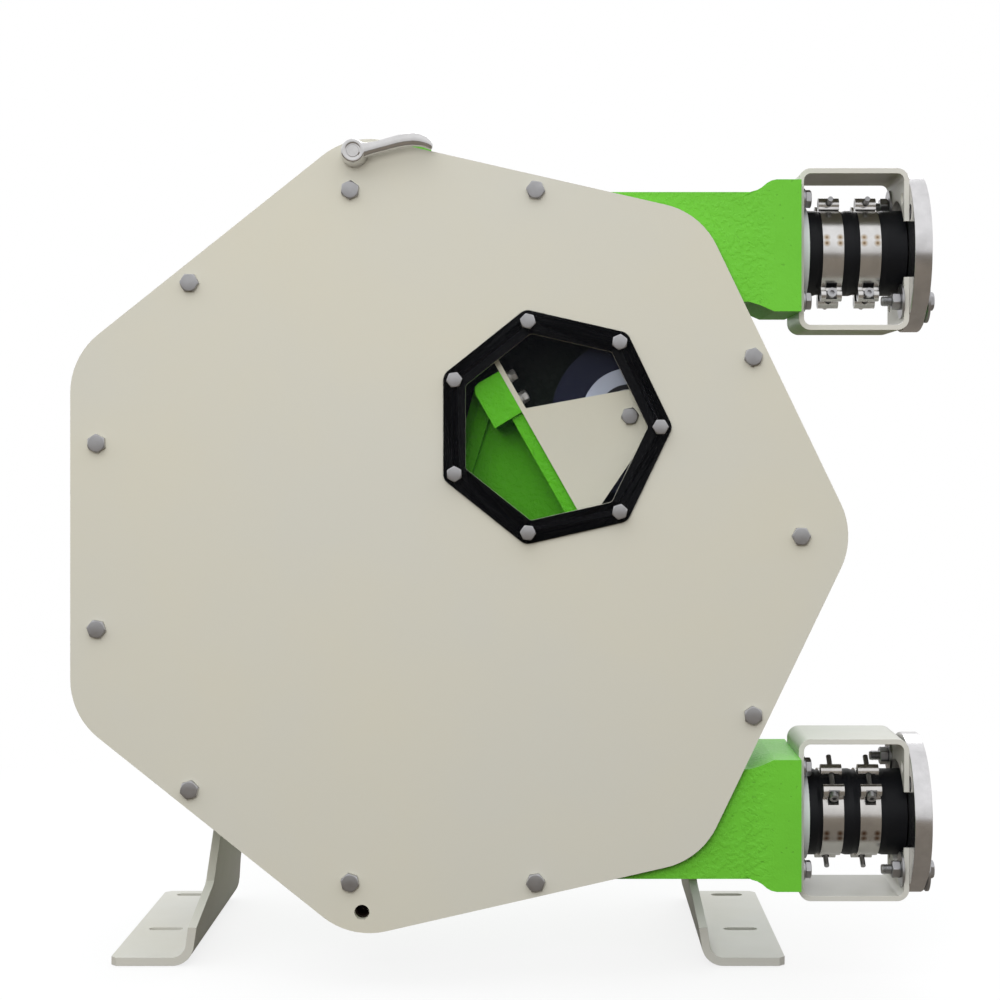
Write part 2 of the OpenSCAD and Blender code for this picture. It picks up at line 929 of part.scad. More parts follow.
module flange_nuts() {
  color(steel)
    pump()
      fitted()
        difference() {
          xhex(-strap_t - m12_washer_t - m12_nut, -strap_t - m12_washer_t, 0, 0, m12_flats);
          xcyl(-strap_t - m12_washer_t - m12_nut - 1, -strap_t, 0, 0, m12 + 0.05);
        }
}

// Puts its children on each clamp of one port, turned as they are fitted.
module clamps(side) {
  for (x = clamp_xs)
    translate([x, mid, side * hose_bend_r])
      rotate([side > 0 ? upper_clamp_turn : lower_clamp_turn, 0, 0])
        mirror([0, side > 0 ? 1 : 0, 0])
          children();
}

// One clamp about the X axis: two half bands, each with a loop for a trunnion at both ends.
module clamp_band() {
  for (h = [-1, 1])
    difference() {
      union() {
        difference() {
          rotate([0, 90, 0])
            cylinder(h = clamp_w, r = band_r + band_t, center = true);
          rotate([0, 90, 0])
            cylinder(h = 30, r = band_r, center = true);
          translate([-20, h > 0 ? -80 : 9, -80])
            cube([40, 71, 160]);
          translate([-20, -9, -80])
            cube([40, 18, 160]);
        }
        for (z = [-1, 1]) {
          translate([-clamp_w / 2, h * loop_y, z * loop_z])
            rotate([0, 90, 0])
              cylinder(h = clamp_w, r = loop_r);
          translate([-clamp_w / 2, h * loop_y - 6, z > 0 ? loop_z - loop_r : -loop_z])
            cube([clamp_w, 12, loop_r]);
        }
      }
      for (z = [-1, 1]) {
        translate([-clamp_w / 2 - 1, h * loop_y, z * loop_z])
          rotate([0, 90, 0])
            cylinder(h = clamp_w + 2, r = trunnion_r + 0.1);
        translate([0, -30, z * loop_z])
          rotate([-90, 0, 0])
            cylinder(h = 60, r = screw_r + 1.2);
      }
      for (z = [-1, 1])
        rotate([z > 0 ? 0 : 180, 0, 0])
          translate([-slot_w / 2, -band_r, loop_z - 12])
            cube([slot_w, band_r - loop_y, 12 + loop_r - 1.5]);
    }
}

module upper_clamp_bands() {
  color(steel)
    pump()
      clamps(1)
        clamp_band();
}

module lower_clamp_bands() {
  color(steel)
    pump()
      clamps(-1)
        clamp_band();
}

module clamp_trunnions() {
  color(steel)
    pump()
      for (s = [-1, 1])
        clamps(s)
          for (y = [-1, 1])
            for (z = [-1, 1])
              difference() {
                translate([-clamp_w / 2, y * loop_y, z * loop_z])
                  rotate([0, 90, 0])
                    cylinder(h = clamp_w, r = trunnion_r);
                translate([0, -30, z * loop_z])
                  rotate([-90, 0, 0])
                    cylinder(h = 60, r = screw_r + 0.1);
              }
}

// Each screw has its head on one side: towards -Y at the top and +Y at the bottom.
module clamp_screws() {
  color(steel)
    pump()
      for (s = [-1, 1])
        clamps(s)
          for (t = [-1, 1])
            translate([0, 0, t * loop_z]) {
              translate([0, t > 0 ? -screw_seat - 3 : -screw_tip, 0])
                rotate([-90, 0, 0])
                  cylinder(h = screw_seat + 3 + screw_tip, r = screw_r);
              translate([0, t > 0 ? -screw_seat - screw_head : screw_seat, 0])
                rotate([-90, 0, 0])
                  difference() {
                    cylinder(h = screw_head, r = screw_head_r);
                    translate([0, 0, t > 0 ? -1 : screw_head - 4])
                      cylinder(h = 5, r = 2.9, $fn = 6);
                  }
            }
}

module clamping_lever() {
  color(steel)
    pump()
      difference() {
        union() {
          ycyl(lever_x, lever_z, lever_base_d0, 0, lever_base_r);
          ycyl(lever_x, lever_z, lever_d0, lever_base_d0 + 1, lever_hub_r);
          translate([lever_x, 0, lever_z])
            slab(lever_d0 + 1, lever_base_d0 + 2)
              polygon([
                [4, 11], [14, 10], [26, 13], [40, 17.5], [52, 20.5], [60, 21.5], [68, 21],
                [76, 18.5], [82, 14], [86, 9], [87, 3], [84, 2], [80, 5], [74, 7.5],
                [66, 8.5], [58, 8], [48, 6], [36, 2.5], [24, -2.5], [14, -8], [4, -10]
              ]);
        }
        ycyl(lever_x, lever_z, -12, 1, m12 + 0.05);
        ycyl(lever_x, lever_z, lever_d0 - 1, lever_d0 + 5, lever_cap_r + 0.2);
        ycyl(lever_x, lever_z, lever_d0 - 1, lever_base_d0 + 3, screw_r + 0.1);
      }
}

module lever_stud() {
  color(steel)
    pump()
      ycyl(lever_x, lever_z, -12, ear_d1 - 8, m12);
}

module lever_cap_screw() {
  color(steel)
    pump() {
      ycyl(lever_x, lever_z, lever_d0 + 0.5, lever_d0 + 5, lever_cap_r - 0.2);
      ycyl(lever_x, lever_z, lever_d0 + 3, lever_base_d0 + 2.5, screw_r);
    }
}

// The two fold shape of the rotor, drawn once and turned half round.
module twice() {
  for (a = [0, 180])
    rotate([0, -a, 0])
      children();
}

module in_rotor() {
  rotate([0, -rotor_turn, 0])
    children();
}

module rotor() {
  color(green)
    pump()
      in_rotor()
        difference() {
          union() {
            ycyl(0, 0, hub_d0, rotor_d1, hub_r);
            twice() {
              slab(hub_d0, web_d1)
                polygon([
                  [0, -hub_r], [60, chord_v0], [chord_u, chord_v0], [chord_u, chord_v1],
                  [chord_u - 36, chord_v1], [0, 20]
                ]);
              slab(plate_d0 + 8, rotor_d1)
                translate([chord_u - chord_t, chord_v0])
                  square([chord_t, chord_v1 - chord_v0]);
              slab(plate_d0, web_d1)
                polygon([
                  [chord_u - 36.3, 77.5], [chord_u, 78.5], [chord_u, chord_v1],
                  [chord_u - 27, chord_v1], [chord_u - 33, chord_v1 - 2],
                  [chord_u - 36.3, chord_v1 - 8]
                ]);
              slab(hub_d0 - 14, web_d1)
                rotate(43.5)
                  translate([60, -8])
                    square([chord_u - 43, 16]);
              slab(arm_d0, rotor_d1)
                polygon([
                  [60, -74], [chord_u - 7, -74], [axle_u + 8, axle_v - 29.7],
                  [axle_u + 12, axle_v + 29.3], [chord_u - 7, 88], [60, 74]
                ]);
              ycyl(axle_u, axle_v, arm_d0 - 2, rotor_d1 + 2, arm_hub_r);
            }
          }
          ycyl(0, 0, hub_d0 - 1, rotor_d1 + 1, journal_r);
          translate([-key_w / 2 - 0.05, hub_d0 - 1, 20])
            cube([key_w + 0.1, rotor_d1 - hub_d0 + 2, key_z0 + key_h + 0.1 - 20]);
          twice() {
            ycyl(axle_u, axle_v, roller_d1 - 5, rotor_d1 + 6, axle_bore_r + 0.1);
            for (v = plate_bolt_vs)
              xcyl(chord_u - 27, chord_u + 1, plate_bolt_d, v, m8_held);
          }
        }
}

module drive_shaft() {
  color(steel)
    pump()
      in_rotor()
        difference() {
          union() {
            ycyl(0, 0, hub_d0 + 1, rotor_d1 + 2, journal_r - 0.1);
            ycyl(0, 0, rotor_d1, bearing_ds[0] - 0.1, shoulder_r);
            ycyl(0, 0, bearing_ds[0] - 1, drive_d1 - spigot_l - 0.5, journal_r);
            ycyl(0, 0, drive_d1 - spigot_l - 0.5, shaft_end_d0, lid_bore_r);
            ycyl(0, 0, shaft_end_d0, shaft_end_d1, shaft_end_r);
          }
          translate([-key_w / 2 - 0.02, hub_d0, key_z0 - 0.1])
            cube([key_w + 0.04, rotor_d1 - hub_d0, 20]);
          rotate([0, -end_key_turn, 0])
            translate([-end_key_w / 2, shaft_end_d0 + 7, shaft_end_r - end_key_t])
              cube([end_key_w, shaft_end_d1 - shaft_end_d0 - 15, 10]);
          ycyl(0, 0, hub_d0, web_d1 + 11, m16 + 0.05);
        }
}

module rotor_key() {
  color(steel)
    pump()
      in_rotor()
        translate([-key_w / 2, hub_d0 + 2, key_z0])
          cube([key_w, rotor_d1 - hub_d0 - 4, key_h]);
}

module rotor_retaining_disc() {
  color(steel)
    pump()
      difference() {
        ycyl(0, 0, hub_d0 - disc_t, hub_d0, disc_r);
        ycyl(0, 0, hub_d0 - disc_t - 1, hub_d0 + 1, m16 + 0.6);
      }
}

module rotor_retaining_screw() {
  color(steel)
    pump() {
      ycyl(0, 0, hub_d0 - disc_t, web_d1 + 8, m16);
      yhex(0, 0, hub_d0 - disc_t - m16_head, hub_d0 - disc_t, m16_flats);
    }
}

module roller_plates() {
  color(cream)
    pump()
      in_rotor()
        twice()
          difference() {
            union() {
              slab(plate_d0, plate_d0 + plate_t) {
                polygon([
                  [chord_u, 82], [chord_u + plate_t, 80], [axle_u + 9.4, axle_v + 28.5],
                  [axle_u, axle_v], [axle_u + 13.4, axle_v - 26.8], [chord_u, -71.6]
                ]);
                translate([axle_u, axle_v])
                  circle(30);
              }
              slab(plate_d0, plate_lip_d1)
                translate([chord_u + 0.05, chord_v0])
                  square([plate_t - 0.05, chord_v1 - chord_v0 + 12]);
            }
            ycyl(axle_u, axle_v, plate_d0 - 6, plate_d0 + plate_t + 8, m12_washer_hole);
            for (v = plate_bolt_vs)
              xcyl(chord_u - 1, chord_u + plate_t + 7, plate_bolt_d, v, m8_clear);
          }
}

module roller_plate_bolts() {
  color(steel)
    pump()
      in_rotor()
        twice()
          for (v = plate_bolt_vs) {
            xcyl(chord_u - 22, chord_u + plate_t, plate_bolt_d, v, m8);
            xhex(chord_u + plate_t, chord_u + plate_t + m8_head, plate_bolt_d, v, m8_flats);
          }
}

module roller_axles() {
  color(steel)
    pump()
      in_rotor()
        twice()
          difference() {
            union() {
              ycyl(axle_u, axle_v, plate_d0 + plate_t, roller_d0 - 0.6, axle_collar_r);
              ycyl(axle_u, axle_v, plate_d0 + plate_t, rotor_d1 + 2, axle_bore_r);
            }
            ycyl(axle_u, axle_v, plate_d0 + plate_t - 1, plate_d0 + axle_hole_l, m12 + 0.05);
          }
}

module roller_axle_bolts() {
  color(steel)
    pump()
      in_rotor()
        twice() {
          ycyl(axle_u, axle_v, plate_d0, plate_d0 + axle_hole_l - 4, m12);
          yhex(axle_u, axle_v, plate_d0 - m12_head, plate_d0, m12_flats);
        }
}

module roller_tyre() {
  difference() {
    ycyl(axle_u, axle_v, roller_d0, roller_d1, roller_r);
    ycyl(axle_u, axle_v, roller_d0 - 5, roller_d1 + 5, roller_hub_r + 0.02);
  }
}

module roller_hub() {
  difference() {
    ycyl(axle_u, axle_v, roller_d0 - 0.2, roller_d1 + 0.2, roller_hub_r);
    ycyl(axle_u, axle_v, roller_d0 - 5, roller_d0 + roller_bearing_w + 0.2, roller_bearing_r + 0.02);
    ycyl(axle_u, axle_v, roller_d0 - 5, roller_d1 + 5, roller_bearing_r - 5);
    ycyl(axle_u, axle_v, roller_d1 - roller_bearing_w - 0.2, roller_d1 + 5, roller_bearing_r + 0.02);
  }
}

module roller_bearings() {
  for (d = [roller_d0, roller_d1 - roller_bearing_w])
    difference() {
      ycyl(axle_u, axle_v, d, d + roller_bearing_w, roller_bearing_r);
      ycyl(axle_u, axle_v, d - 1, d + roller_bearing_w + 1, axle_bore_r + 0.05);
    }
}

module first_roller_tyre() {
  color(dark)
    pump()
      in_rotor()
        roller_tyre();
}

module first_roller_hub() {
  color(steel)
    pump()
      in_rotor()
        roller_hub();
}

module first_roller_bearings() {
  color(steel)
    pump()
      in_rotor()
        roller_bearings();
}

module second_roller_tyre() {
  color(dark)
    pump()
      in_rotor()
        rotate([0, 180, 0])
          roller_tyre();
}

module second_roller_hub() {
  color(steel)
    pump()
      in_rotor()
        rotate([0, 180, 0])
          roller_hub();
}

module second_roller_bearings() {
  color(steel)
    pump()
      in_rotor()
        rotate([0, 180, 0])
          roller_bearings();
}

housing();
bearing_housing();
bearing_housing_bolts();
shaft_bearings();
shaft_seal();
bearing_cover();
bearing_cover_bolts();
left_leg();
right_leg();
leg_bolts();
front_cover();
cover_gasket();
cover_bolts();
window_gasket();
window_pane();
window_bolts();
pump_hose();
upper_bracket();
lower_bracket();
bracket_bolts();
bracket_washers();
hose_collars();
upper_hose_insert();
lower_hose_insert();
upper_flange();
lower_flange();
flange_bolts();
flange_fender_washers();
ear_washers();
flange_nuts();
upper_clamp_bands();
lower_clamp_bands();
clamp_trunnions();
clamp_screws();
clamping_lever();
lever_stud();
lever_cap_screw();
rotor();
drive_shaft();
rotor_key();
rotor_retaining_disc();
rotor_retaining_screw();
roller_plates();
roller_plate_bolts();
roller_axles();
roller_axle_bolts();
first_roller_tyre();
first_roller_hub();
first_roller_bearings();
second_roller_tyre();
second_roller_hub();
second_roller_bearings();
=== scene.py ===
"""Looks of a peristaltic hose pump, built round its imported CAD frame."""
import json
from math import copysign, cos, hypot, pi, radians, sin, sqrt, tan

import bmesh
import bpy
from mathutils import Matrix, Vector

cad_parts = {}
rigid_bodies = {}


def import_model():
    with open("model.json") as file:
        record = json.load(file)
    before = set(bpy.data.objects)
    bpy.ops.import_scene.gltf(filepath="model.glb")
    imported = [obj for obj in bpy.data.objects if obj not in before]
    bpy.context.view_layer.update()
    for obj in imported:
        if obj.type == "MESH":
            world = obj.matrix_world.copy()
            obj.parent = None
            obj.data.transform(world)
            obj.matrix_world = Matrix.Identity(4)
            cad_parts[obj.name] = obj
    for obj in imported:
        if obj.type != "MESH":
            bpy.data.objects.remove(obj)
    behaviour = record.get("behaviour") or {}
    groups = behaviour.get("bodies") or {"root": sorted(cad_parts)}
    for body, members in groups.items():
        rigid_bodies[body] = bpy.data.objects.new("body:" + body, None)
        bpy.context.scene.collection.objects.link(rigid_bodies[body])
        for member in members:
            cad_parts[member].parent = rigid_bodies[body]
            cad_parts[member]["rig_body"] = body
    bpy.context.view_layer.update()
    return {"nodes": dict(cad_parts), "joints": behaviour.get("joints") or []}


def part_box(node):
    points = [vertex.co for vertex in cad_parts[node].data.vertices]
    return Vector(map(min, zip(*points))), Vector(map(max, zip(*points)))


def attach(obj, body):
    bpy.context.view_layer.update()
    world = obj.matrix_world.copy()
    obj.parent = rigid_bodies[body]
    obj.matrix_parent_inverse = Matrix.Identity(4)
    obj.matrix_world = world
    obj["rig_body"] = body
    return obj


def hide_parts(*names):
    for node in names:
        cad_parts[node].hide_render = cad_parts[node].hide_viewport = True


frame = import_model()

# Sizes are in millimetres and are turned into metres by MM.
MM = 0.001
JOINTS = {joint["name"]: Vector(joint["pos_m"]) for joint in frame["joints"]}
AXIS = JOINTS["rotor_turn"]
LEVER = JOINTS["lever_turn"]
COVER_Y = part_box("front_cover")[0].y
X_AXIS = Vector((1, 0, 0))
Y_AXIS = Vector((0, 1, 0))

# The ports: their height from the rotor axis, their depth and the face that carries the bracket
PORT_Z = 328
MID = 90
PORT_X = 407

# The pad of a port: where it starts, how far it and the neck reach from the middle depth, the
# length of the slope that joins them, and a height that only the ports lie beyond
PAD_X = PORT_X - 65
PAD_HALF = 80
NECK_HALF = 76
FLARE_L = 36
PORT_MIN_Z = 200

# The bracket: sheet thickness, and depth and height of its bolts from the port's axis
STRAP = 6
BRACKET_BOLT = (42, 59.1)

# The clamps: their middles right of the port's face, their outside radius, how far spot welds
# lie from the middle of a band and of a pair, and the height of the pairs above a port's axis
CLAMP_XS = (41, 84)
BAND_R = 50.5
WELD_EDGE = 7.7
WELD_STEP = 3.6
UPPER_WELD_Z = 11
LOWER_WELD_Z = -20

# The loose flange: its back face, thickness, bolt circle and the angle of its fitted bolts
FLANGE_X = 534
FLANGE_T = 20
FLANGE_BOLT_R = 72.5
FLANGE_ANGLE = 54.6

# Bolts: thread radius, width across flats and head height
M16 = (8, 24, 10)
M12 = (6, 19, 7.5)
M10 = (5, 16, 6.4)
M8 = (4, 13, 5.5)
PLATE_BOLT = (4, 13, 7)
AXLE_BOLT = (6, 18, 7.5)
M12_PITCH = 1.75
M12_NUT_H = 10
WASHER_T = 2.5
BIG_WASHER_T = 3
PLATE_WASHER_T = 3

# How far shanks and collars start inside a head, so that no faces coincide
SHANK_SUNK = 0.2
COLLAR_SUNK = 0.1

# Lengths of the shanks under the heads
SHANKS = {
    "cover_bolts": 42, "window_bolts": 20, "bracket_bolts": 28, "flange_bolts": 28,
    "bearing_housing_bolts": 38, "bearing_cover_bolts": 27, "leg_bolts": 33,
    "roller_plate_bolts": 26, "roller_axle_bolts": 30, "rotor_retaining_screw": 32,
}

# The threaded end of a flange bolt: its start left of the flange's back face, and its length
THREAD_START = 4
THREAD_L = 26

# Hexagons: radius of the flat face as a share of the width across flats, chamfer, rise of the
# dome on a head, and points round them
FACE_SHARE = 0.47
CHAMFER_SLOPE = tan(radians(32))
HEAD_DOME = 0.45
HEX_POINTS = 72

# The cover: its bolts, its blind hole with points of painted shade down the inside, and its window
COVER_BOLT_R = 405
COVER_BOLT_ANGLES = (0, 30, -30, 75, -75, 105, -105, 135, -135, 165, -165)
HOLE = (-91.7, -425.6)
HOLE_R = 9
HOLE_DEPTHS = (14, 22, 30, 38)
WINDOW = (123.4, 123.4)
WINDOW_SIDES = 7
WINDOW_BOLT_R = 122
PANE_FRONT = -11

# The rotor, in its own directions: u from the axis towards the first roller, and v across it
ROTOR_ANGLE = 29.55
AXLE = (252, 13.7)
CHORD_U = 147
ROLLER_D0 = 37
ROLLER_DARK_R = 36.5
PLATE_D0 = 26
PLATE_T = 6
PLATE_BOLT_D = 50
PLATE_BOLT_VS = (93, 121.5, -66, -88)
SCREW_D = 109

# The depth from which the rotor's arms are painted dark as shade, and the radius and depths of
# the walls inside the housing that are painted dark as shade
ARM_D0 = 140
CAVITY_R = 380.5
CAVITY_DEPTHS = (10, 170)

# The rear: bolt circles, depths under the heads, and the bolts along the leaning legs, whose
# inside face meets the floor at a distance from the middle
HOUSING_BOLT_R = 130
HOUSING_BOLT_D = 210
LID_BOLT_R = 72
LID_BOLT_D = 342
LEG_BOLT_D = 218
LEG_BOLT_HEIGHTS = (270, 330, 390)
LEG_INSIDE_X = 305
LEG_LEAN = 8.3
LEG_BOLT_IN = 24


def at(x, d, z):
    """A point from millimetres: right of the rotor axis, behind the cover's face, above the axis."""
    return Vector((AXIS.x + x * MM, COVER_Y + d * MM, AXIS.z + z * MM))


def at_rotor(u, d, v, turn):
    """A point given in the rotor's own directions, turned about the rotor axis."""
    a = radians(ROTOR_ANGLE + turn)
    return at(u * cos(a) - v * sin(a), d, u * sin(a) + v * cos(a))


def srgb(r, g, b):
    """A colour from 0 to 255 as the renderer counts it."""
    def linear(c):
        c /= 255
        return c / 12.92 if c <= 0.04045 else ((c + 0.055) / 1.055) ** 2.4
    return (linear(r), linear(g), linear(b), 1)


# Materials
class Finish:
    """A principled material with the nodes that these finishes share."""

    def __init__(self, name, colour, roughness, metallic=0.0):
        self.material = bpy.data.materials.new(name)
        self.material.use_nodes = True
        self.tree = self.material.node_tree
        self.shader = self.tree.nodes["Principled BSDF"]
        self.shader.inputs["Base Color"].default_value = colour
        self.shader.inputs["Roughness"].default_value = roughness
        self.shader.inputs["Metallic"].default_value = metallic
        self.place = self.node("ShaderNodeTexCoord").outputs["Object"]
        self.normal = None

    def node(self, kind, **settings):
        """A new node with its settings."""
        made = self.tree.nodes.new(kind)
        for key, value in settings.items():
            setattr(made, key, value)
        return made

    def link(self, source, target):
        self.tree.links.new(source, target)

    def stretched(self, scale):
        """Object coordinates, scaled along each axis."""
        mapping = self.node("ShaderNodeMapping")
        mapping.inputs["Scale"].default_value = scale
        self.link(self.place, mapping.inputs["Vector"])
        return mapping.outputs["Vector"]

    def noise(self, scale, detail, roughness=0.5, place=None):
        """Soft noise; the scale counts its lumps in a metre."""
        noise = self.node("ShaderNodeTexNoise")
        noise.inputs["Scale"].default_value = scale
        noise.inputs["Detail"].default_value = detail
        noise.inputs["Roughness"].default_value = roughness
        self.link(place or self.place, noise.inputs["Vector"])
        return noise.outputs["Fac"]

    def ramp(self, factor, *stops):
        """A colour ramp: each stop is a place and a colour or a grey."""
        ramp = self.node("ShaderNodeValToRGB")
        elements = ramp.color_ramp.elements
        while len(elements) < len(stops):
            elements.new(0.5)
        for element, (place, value) in zip(elements, stops):
            element.position = place
            element.color = value if isinstance(value, tuple) else (value, value, value, 1)
        self.link(factor, ramp.inputs["Fac"])
        return ramp.outputs["Color"]

    def mix(self, factor, first, second):
        """Blends from the first colour to the second."""
        mix = self.node("ShaderNodeMix", data_type="RGBA")
        for socket, value in (("A_Color", first), ("B_Color", second)):
            target = next(i for i in mix.inputs if i.identifier == socket)
            if isinstance(value, tuple):
                target.default_value = value
            else:
                self.link(value, target)
        self.link(factor, next(i for i in mix.inputs if i.identifier == "Factor_Float"))
        return next(o for o in mix.outputs if o.identifier == "Result_Color")

    def math(self, operation, first, second):
        """One operation on two sockets."""
        made = self.node("ShaderNodeMath", operation=operation)
        self.link(first, made.inputs[0])
        self.link(second, made.inputs[1])
        return made.outputs["Value"]

    def bump(self, height, depth, strength):
        """Adds relief; depth is in millimetres."""
        bump = self.node("ShaderNodeBump")
        bump.inputs["Strength"].default_value = strength
        bump.inputs["Distance"].default_value = depth * MM
        self.link(height, bump.inputs["Height"])
        if self.normal:
            self.link(self.normal, bump.inputs["Normal"])
        self.normal = bump.outputs["Normal"]
        self.link(self.normal, self.shader.inputs["Normal"])

    def colour(self, source):
        self.link(source, self.shader.inputs["Base Color"])

    def roughness(self, source):
        self.link(source, self.shader.inputs["Roughness"])

    def spots(self, centres, radius, edge):
        """A mask that is 1 within a radius of any of the points and fades over an edge, in mm."""
        mask = None
        for centre in centres:
            far = self.node("ShaderNodeVectorMath", operation="DISTANCE")
            self.link(self.place, far.inputs[0])
            far.inputs[1].default_value = centre
            near = self.node("ShaderNodeMapRange")
            near.inputs["From Min"].default_value = (radius + edge) * MM
            near.inputs["From Max"].default_value = radius * MM
            self.link(far.outputs["Value"], near.inputs["Value"])
            near = near.outputs["Result"]
            mask = self.math("MAXIMUM", mask, near) if mask else near
        return mask


def scaled(colour, k):
    """A lighter or darker shade of a colour."""
    return (colour[0] * k, colour[1] * k, colour[2] * k, 1)


def cast_paint(name, colour, roughness, lumpy=1.0, smooth_x=None, dark_spots=None):
    """Paint on a rough casting: soft lumps, worm-like wrinkles, grain and a few small pits.

    Right of smooth_x the wrinkles fade out, as beside a machined face. Dark spots are points down
    the inside of a blind hole, round which shade is painted into the paint as dark brown.
    """
    f = Finish(name, colour, roughness)
    f.shader.inputs["Specular IOR Level"].default_value = 0.25
    lumps = f.noise(38, 3)
    wrinkles = f.ramp(f.noise(150, 3, 0.55), (0.44, 0.0), (0.58, 1.0))
    grain = f.noise(420, 2, 0.55)
    pits = f.ramp(f.noise(190, 1, 0.5), (0.24, 0.0), (0.30, 1.0))
    if smooth_x:
        fade = 20
        split = f.node("ShaderNodeSeparateXYZ")
        f.link(f.place, split.inputs["Vector"])
        rough = f.node("ShaderNodeMapRange")
        rough.inputs["From Min"].default_value = AXIS.x + (smooth_x + fade) * MM
        rough.inputs["From Max"].default_value = AXIS.x + smooth_x * MM
        rough.inputs["To Min"].default_value = 0.12
        f.link(split.outputs["X"], rough.inputs["Value"])
        wrinkles = f.math("MULTIPLY", wrinkles, rough.outputs["Result"])
    f.bump(lumps, 1.6 * lumpy, 0.4)
    f.bump(wrinkles, 1.1 * lumpy, 0.4)
    f.bump(grain, 0.25 * lumpy, 0.4)
    f.bump(pits, 0.3, 0.5)
    patches = f.ramp(f.noise(9, 3), (0.3, scaled(colour, 0.96)), (0.7, scaled(colour, 1.03)))
    painted = f.mix(pits, scaled(colour, 0.8), patches)
    if dark_spots:
        # Painted shade: the paint goes dark brown round the points down the inside of the blind hole
        painted = f.mix(f.spots(dark_spots, HOLE_R, 0.5), painted, srgb(34, 24, 20))
    f.colour(painted)
    f.roughness(f.ramp(grain, (0.3, roughness - 0.06), (0.7, roughness + 0.08)))
    return f.material


def sheet_paint(name, colour, roughness=0.4):
    """Sprayed paint on plate: an even skin with a faint texture and soft clouds."""
    f = Finish(name, colour, roughness)
    f.shader.inputs["Specular IOR Level"].default_value = 0.2
    clouds = f.noise(3.5, 4, 0.55)
    warm = (colour[0] * 1.01, colour[1], colour[2] * 0.975, 1)
    cool = (colour[0] * 0.985, colour[1] * 0.99, colour[2] * 1.01, 1)
    f.colour(f.ramp(clouds, (0.35, warm), (0.65, cool)))
    f.bump(f.noise(700, 2), 0.06, 0.5)
    f.bump(f.noise(60, 2), 0.15, 0.25)
    f.roughness(f.ramp(f.noise(25, 3), (0.3, roughness - 0.05), (0.7, roughness + 0.06)))
    return f.material


def metal(name, colour, roughness, grain=(1, 1, 1), scale=300.0, depth=0.03, spread=0.12,
          welds=None):
    """Bare metal with a grain that can be stretched along an axis.

    Welds are a tint and the points of spot welds, each with a brown core and a halo.
    """
    f = Finish(name, colour, roughness, 1.0)
    lines = f.noise(scale, 3, 0.6, f.stretched(grain))
    f.bump(lines, depth, 0.6)
    f.roughness(f.ramp(lines, (0.3, roughness - spread / 2), (0.7, roughness + spread / 2)))
    blotches = f.noise(60, 3)
    surface = f.ramp(blotches, (0.3, scaled(colour, 0.86)), (0.7, colour))
    if welds:
        tint, points = welds
        surface = f.mix(f.spots(points, 1.6, 3.4), surface, tint)
        surface = f.mix(f.spots(points, 0.5, 1.4), surface, srgb(106, 80, 56))
    f.colour(surface)
    return f.material


def rubber(name, colour, roughness, specular=0.5, dark_spots=None):
    """Matt rubber; dark spots are points and a radius within which it is nearly black."""
    f = Finish(name, colour, roughness)
    f.shader.inputs["Specular IOR Level"].default_value = specular
    f.bump(f.noise(600, 2), 0.1, 0.4)
    f.roughness(f.ramp(f.noise(40, 3), (0.3, roughness - 0.06), (0.7, roughness + 0.08)))
    surface = f.ramp(f.noise(15, 3), (0.3, colour), (0.7, scaled(colour, 1.35)))
    if dark_spots:
        points, radius = dark_spots
        surface = f.mix(f.spots(points, radius, 0.4), surface, srgb(22, 22, 26))
    f.colour(surface)
    return f.material


def gloss(name, colour, roughness, specular):
    """A plain even skin, such as smooth black rubber."""
    f = Finish(name, colour, roughness)
    f.shader.inputs["Specular IOR Level"].default_value = specular
    return f.material


def clear_pane(name):
    """Clear acrylic: it only tints a little and shines."""
    f = Finish(name, (0.02, 0.022, 0.03, 1), 0.04)
    f.shader.inputs["Alpha"].default_value = 0.05
    f.shader.inputs["Specular IOR Level"].default_value = 0.25
    f.roughness(f.ramp(f.noise(12, 2), (0.3, 0.03), (0.7, 0.07)))
    return f.material


def speckled(name, colour, roughness):
    """A smooth dark roller face with a few light flecks."""
    f = Finish(name, colour, roughness)
    f.shader.inputs["Specular IOR Level"].default_value = 0.2
    flecks = f.ramp(f.noise(230, 1), (0.70, 0.0), (0.74, 1.0))
    f.colour(f.mix(flecks, colour, srgb(95, 105, 130)))
    f.roughness(f.ramp(f.noise(30, 3), (0.3, roughness - 0.02), (0.7, roughness + 0.03)))
    f.bump(f.noise(90, 3), 0.15, 0.3)
    return f.material


GREEN = srgb(108, 194, 56)
CREAM = srgb(205, 203, 190)
STRAP_CREAM = srgb(208, 207, 199)


def weld_points(side, height):
    """Two spot welds near each edge of both front bands, at a height above the port's axis."""
    front = MID - sqrt(BAND_R ** 2 - height ** 2)
    return [at(PORT_X + clamp + edge, front, side * PORT_Z + height + dot)
            for clamp in CLAMP_XS
            for edge in (-WELD_EDGE, WELD_EDGE)
            for dot in (-WELD_STEP, WELD_STEP)]


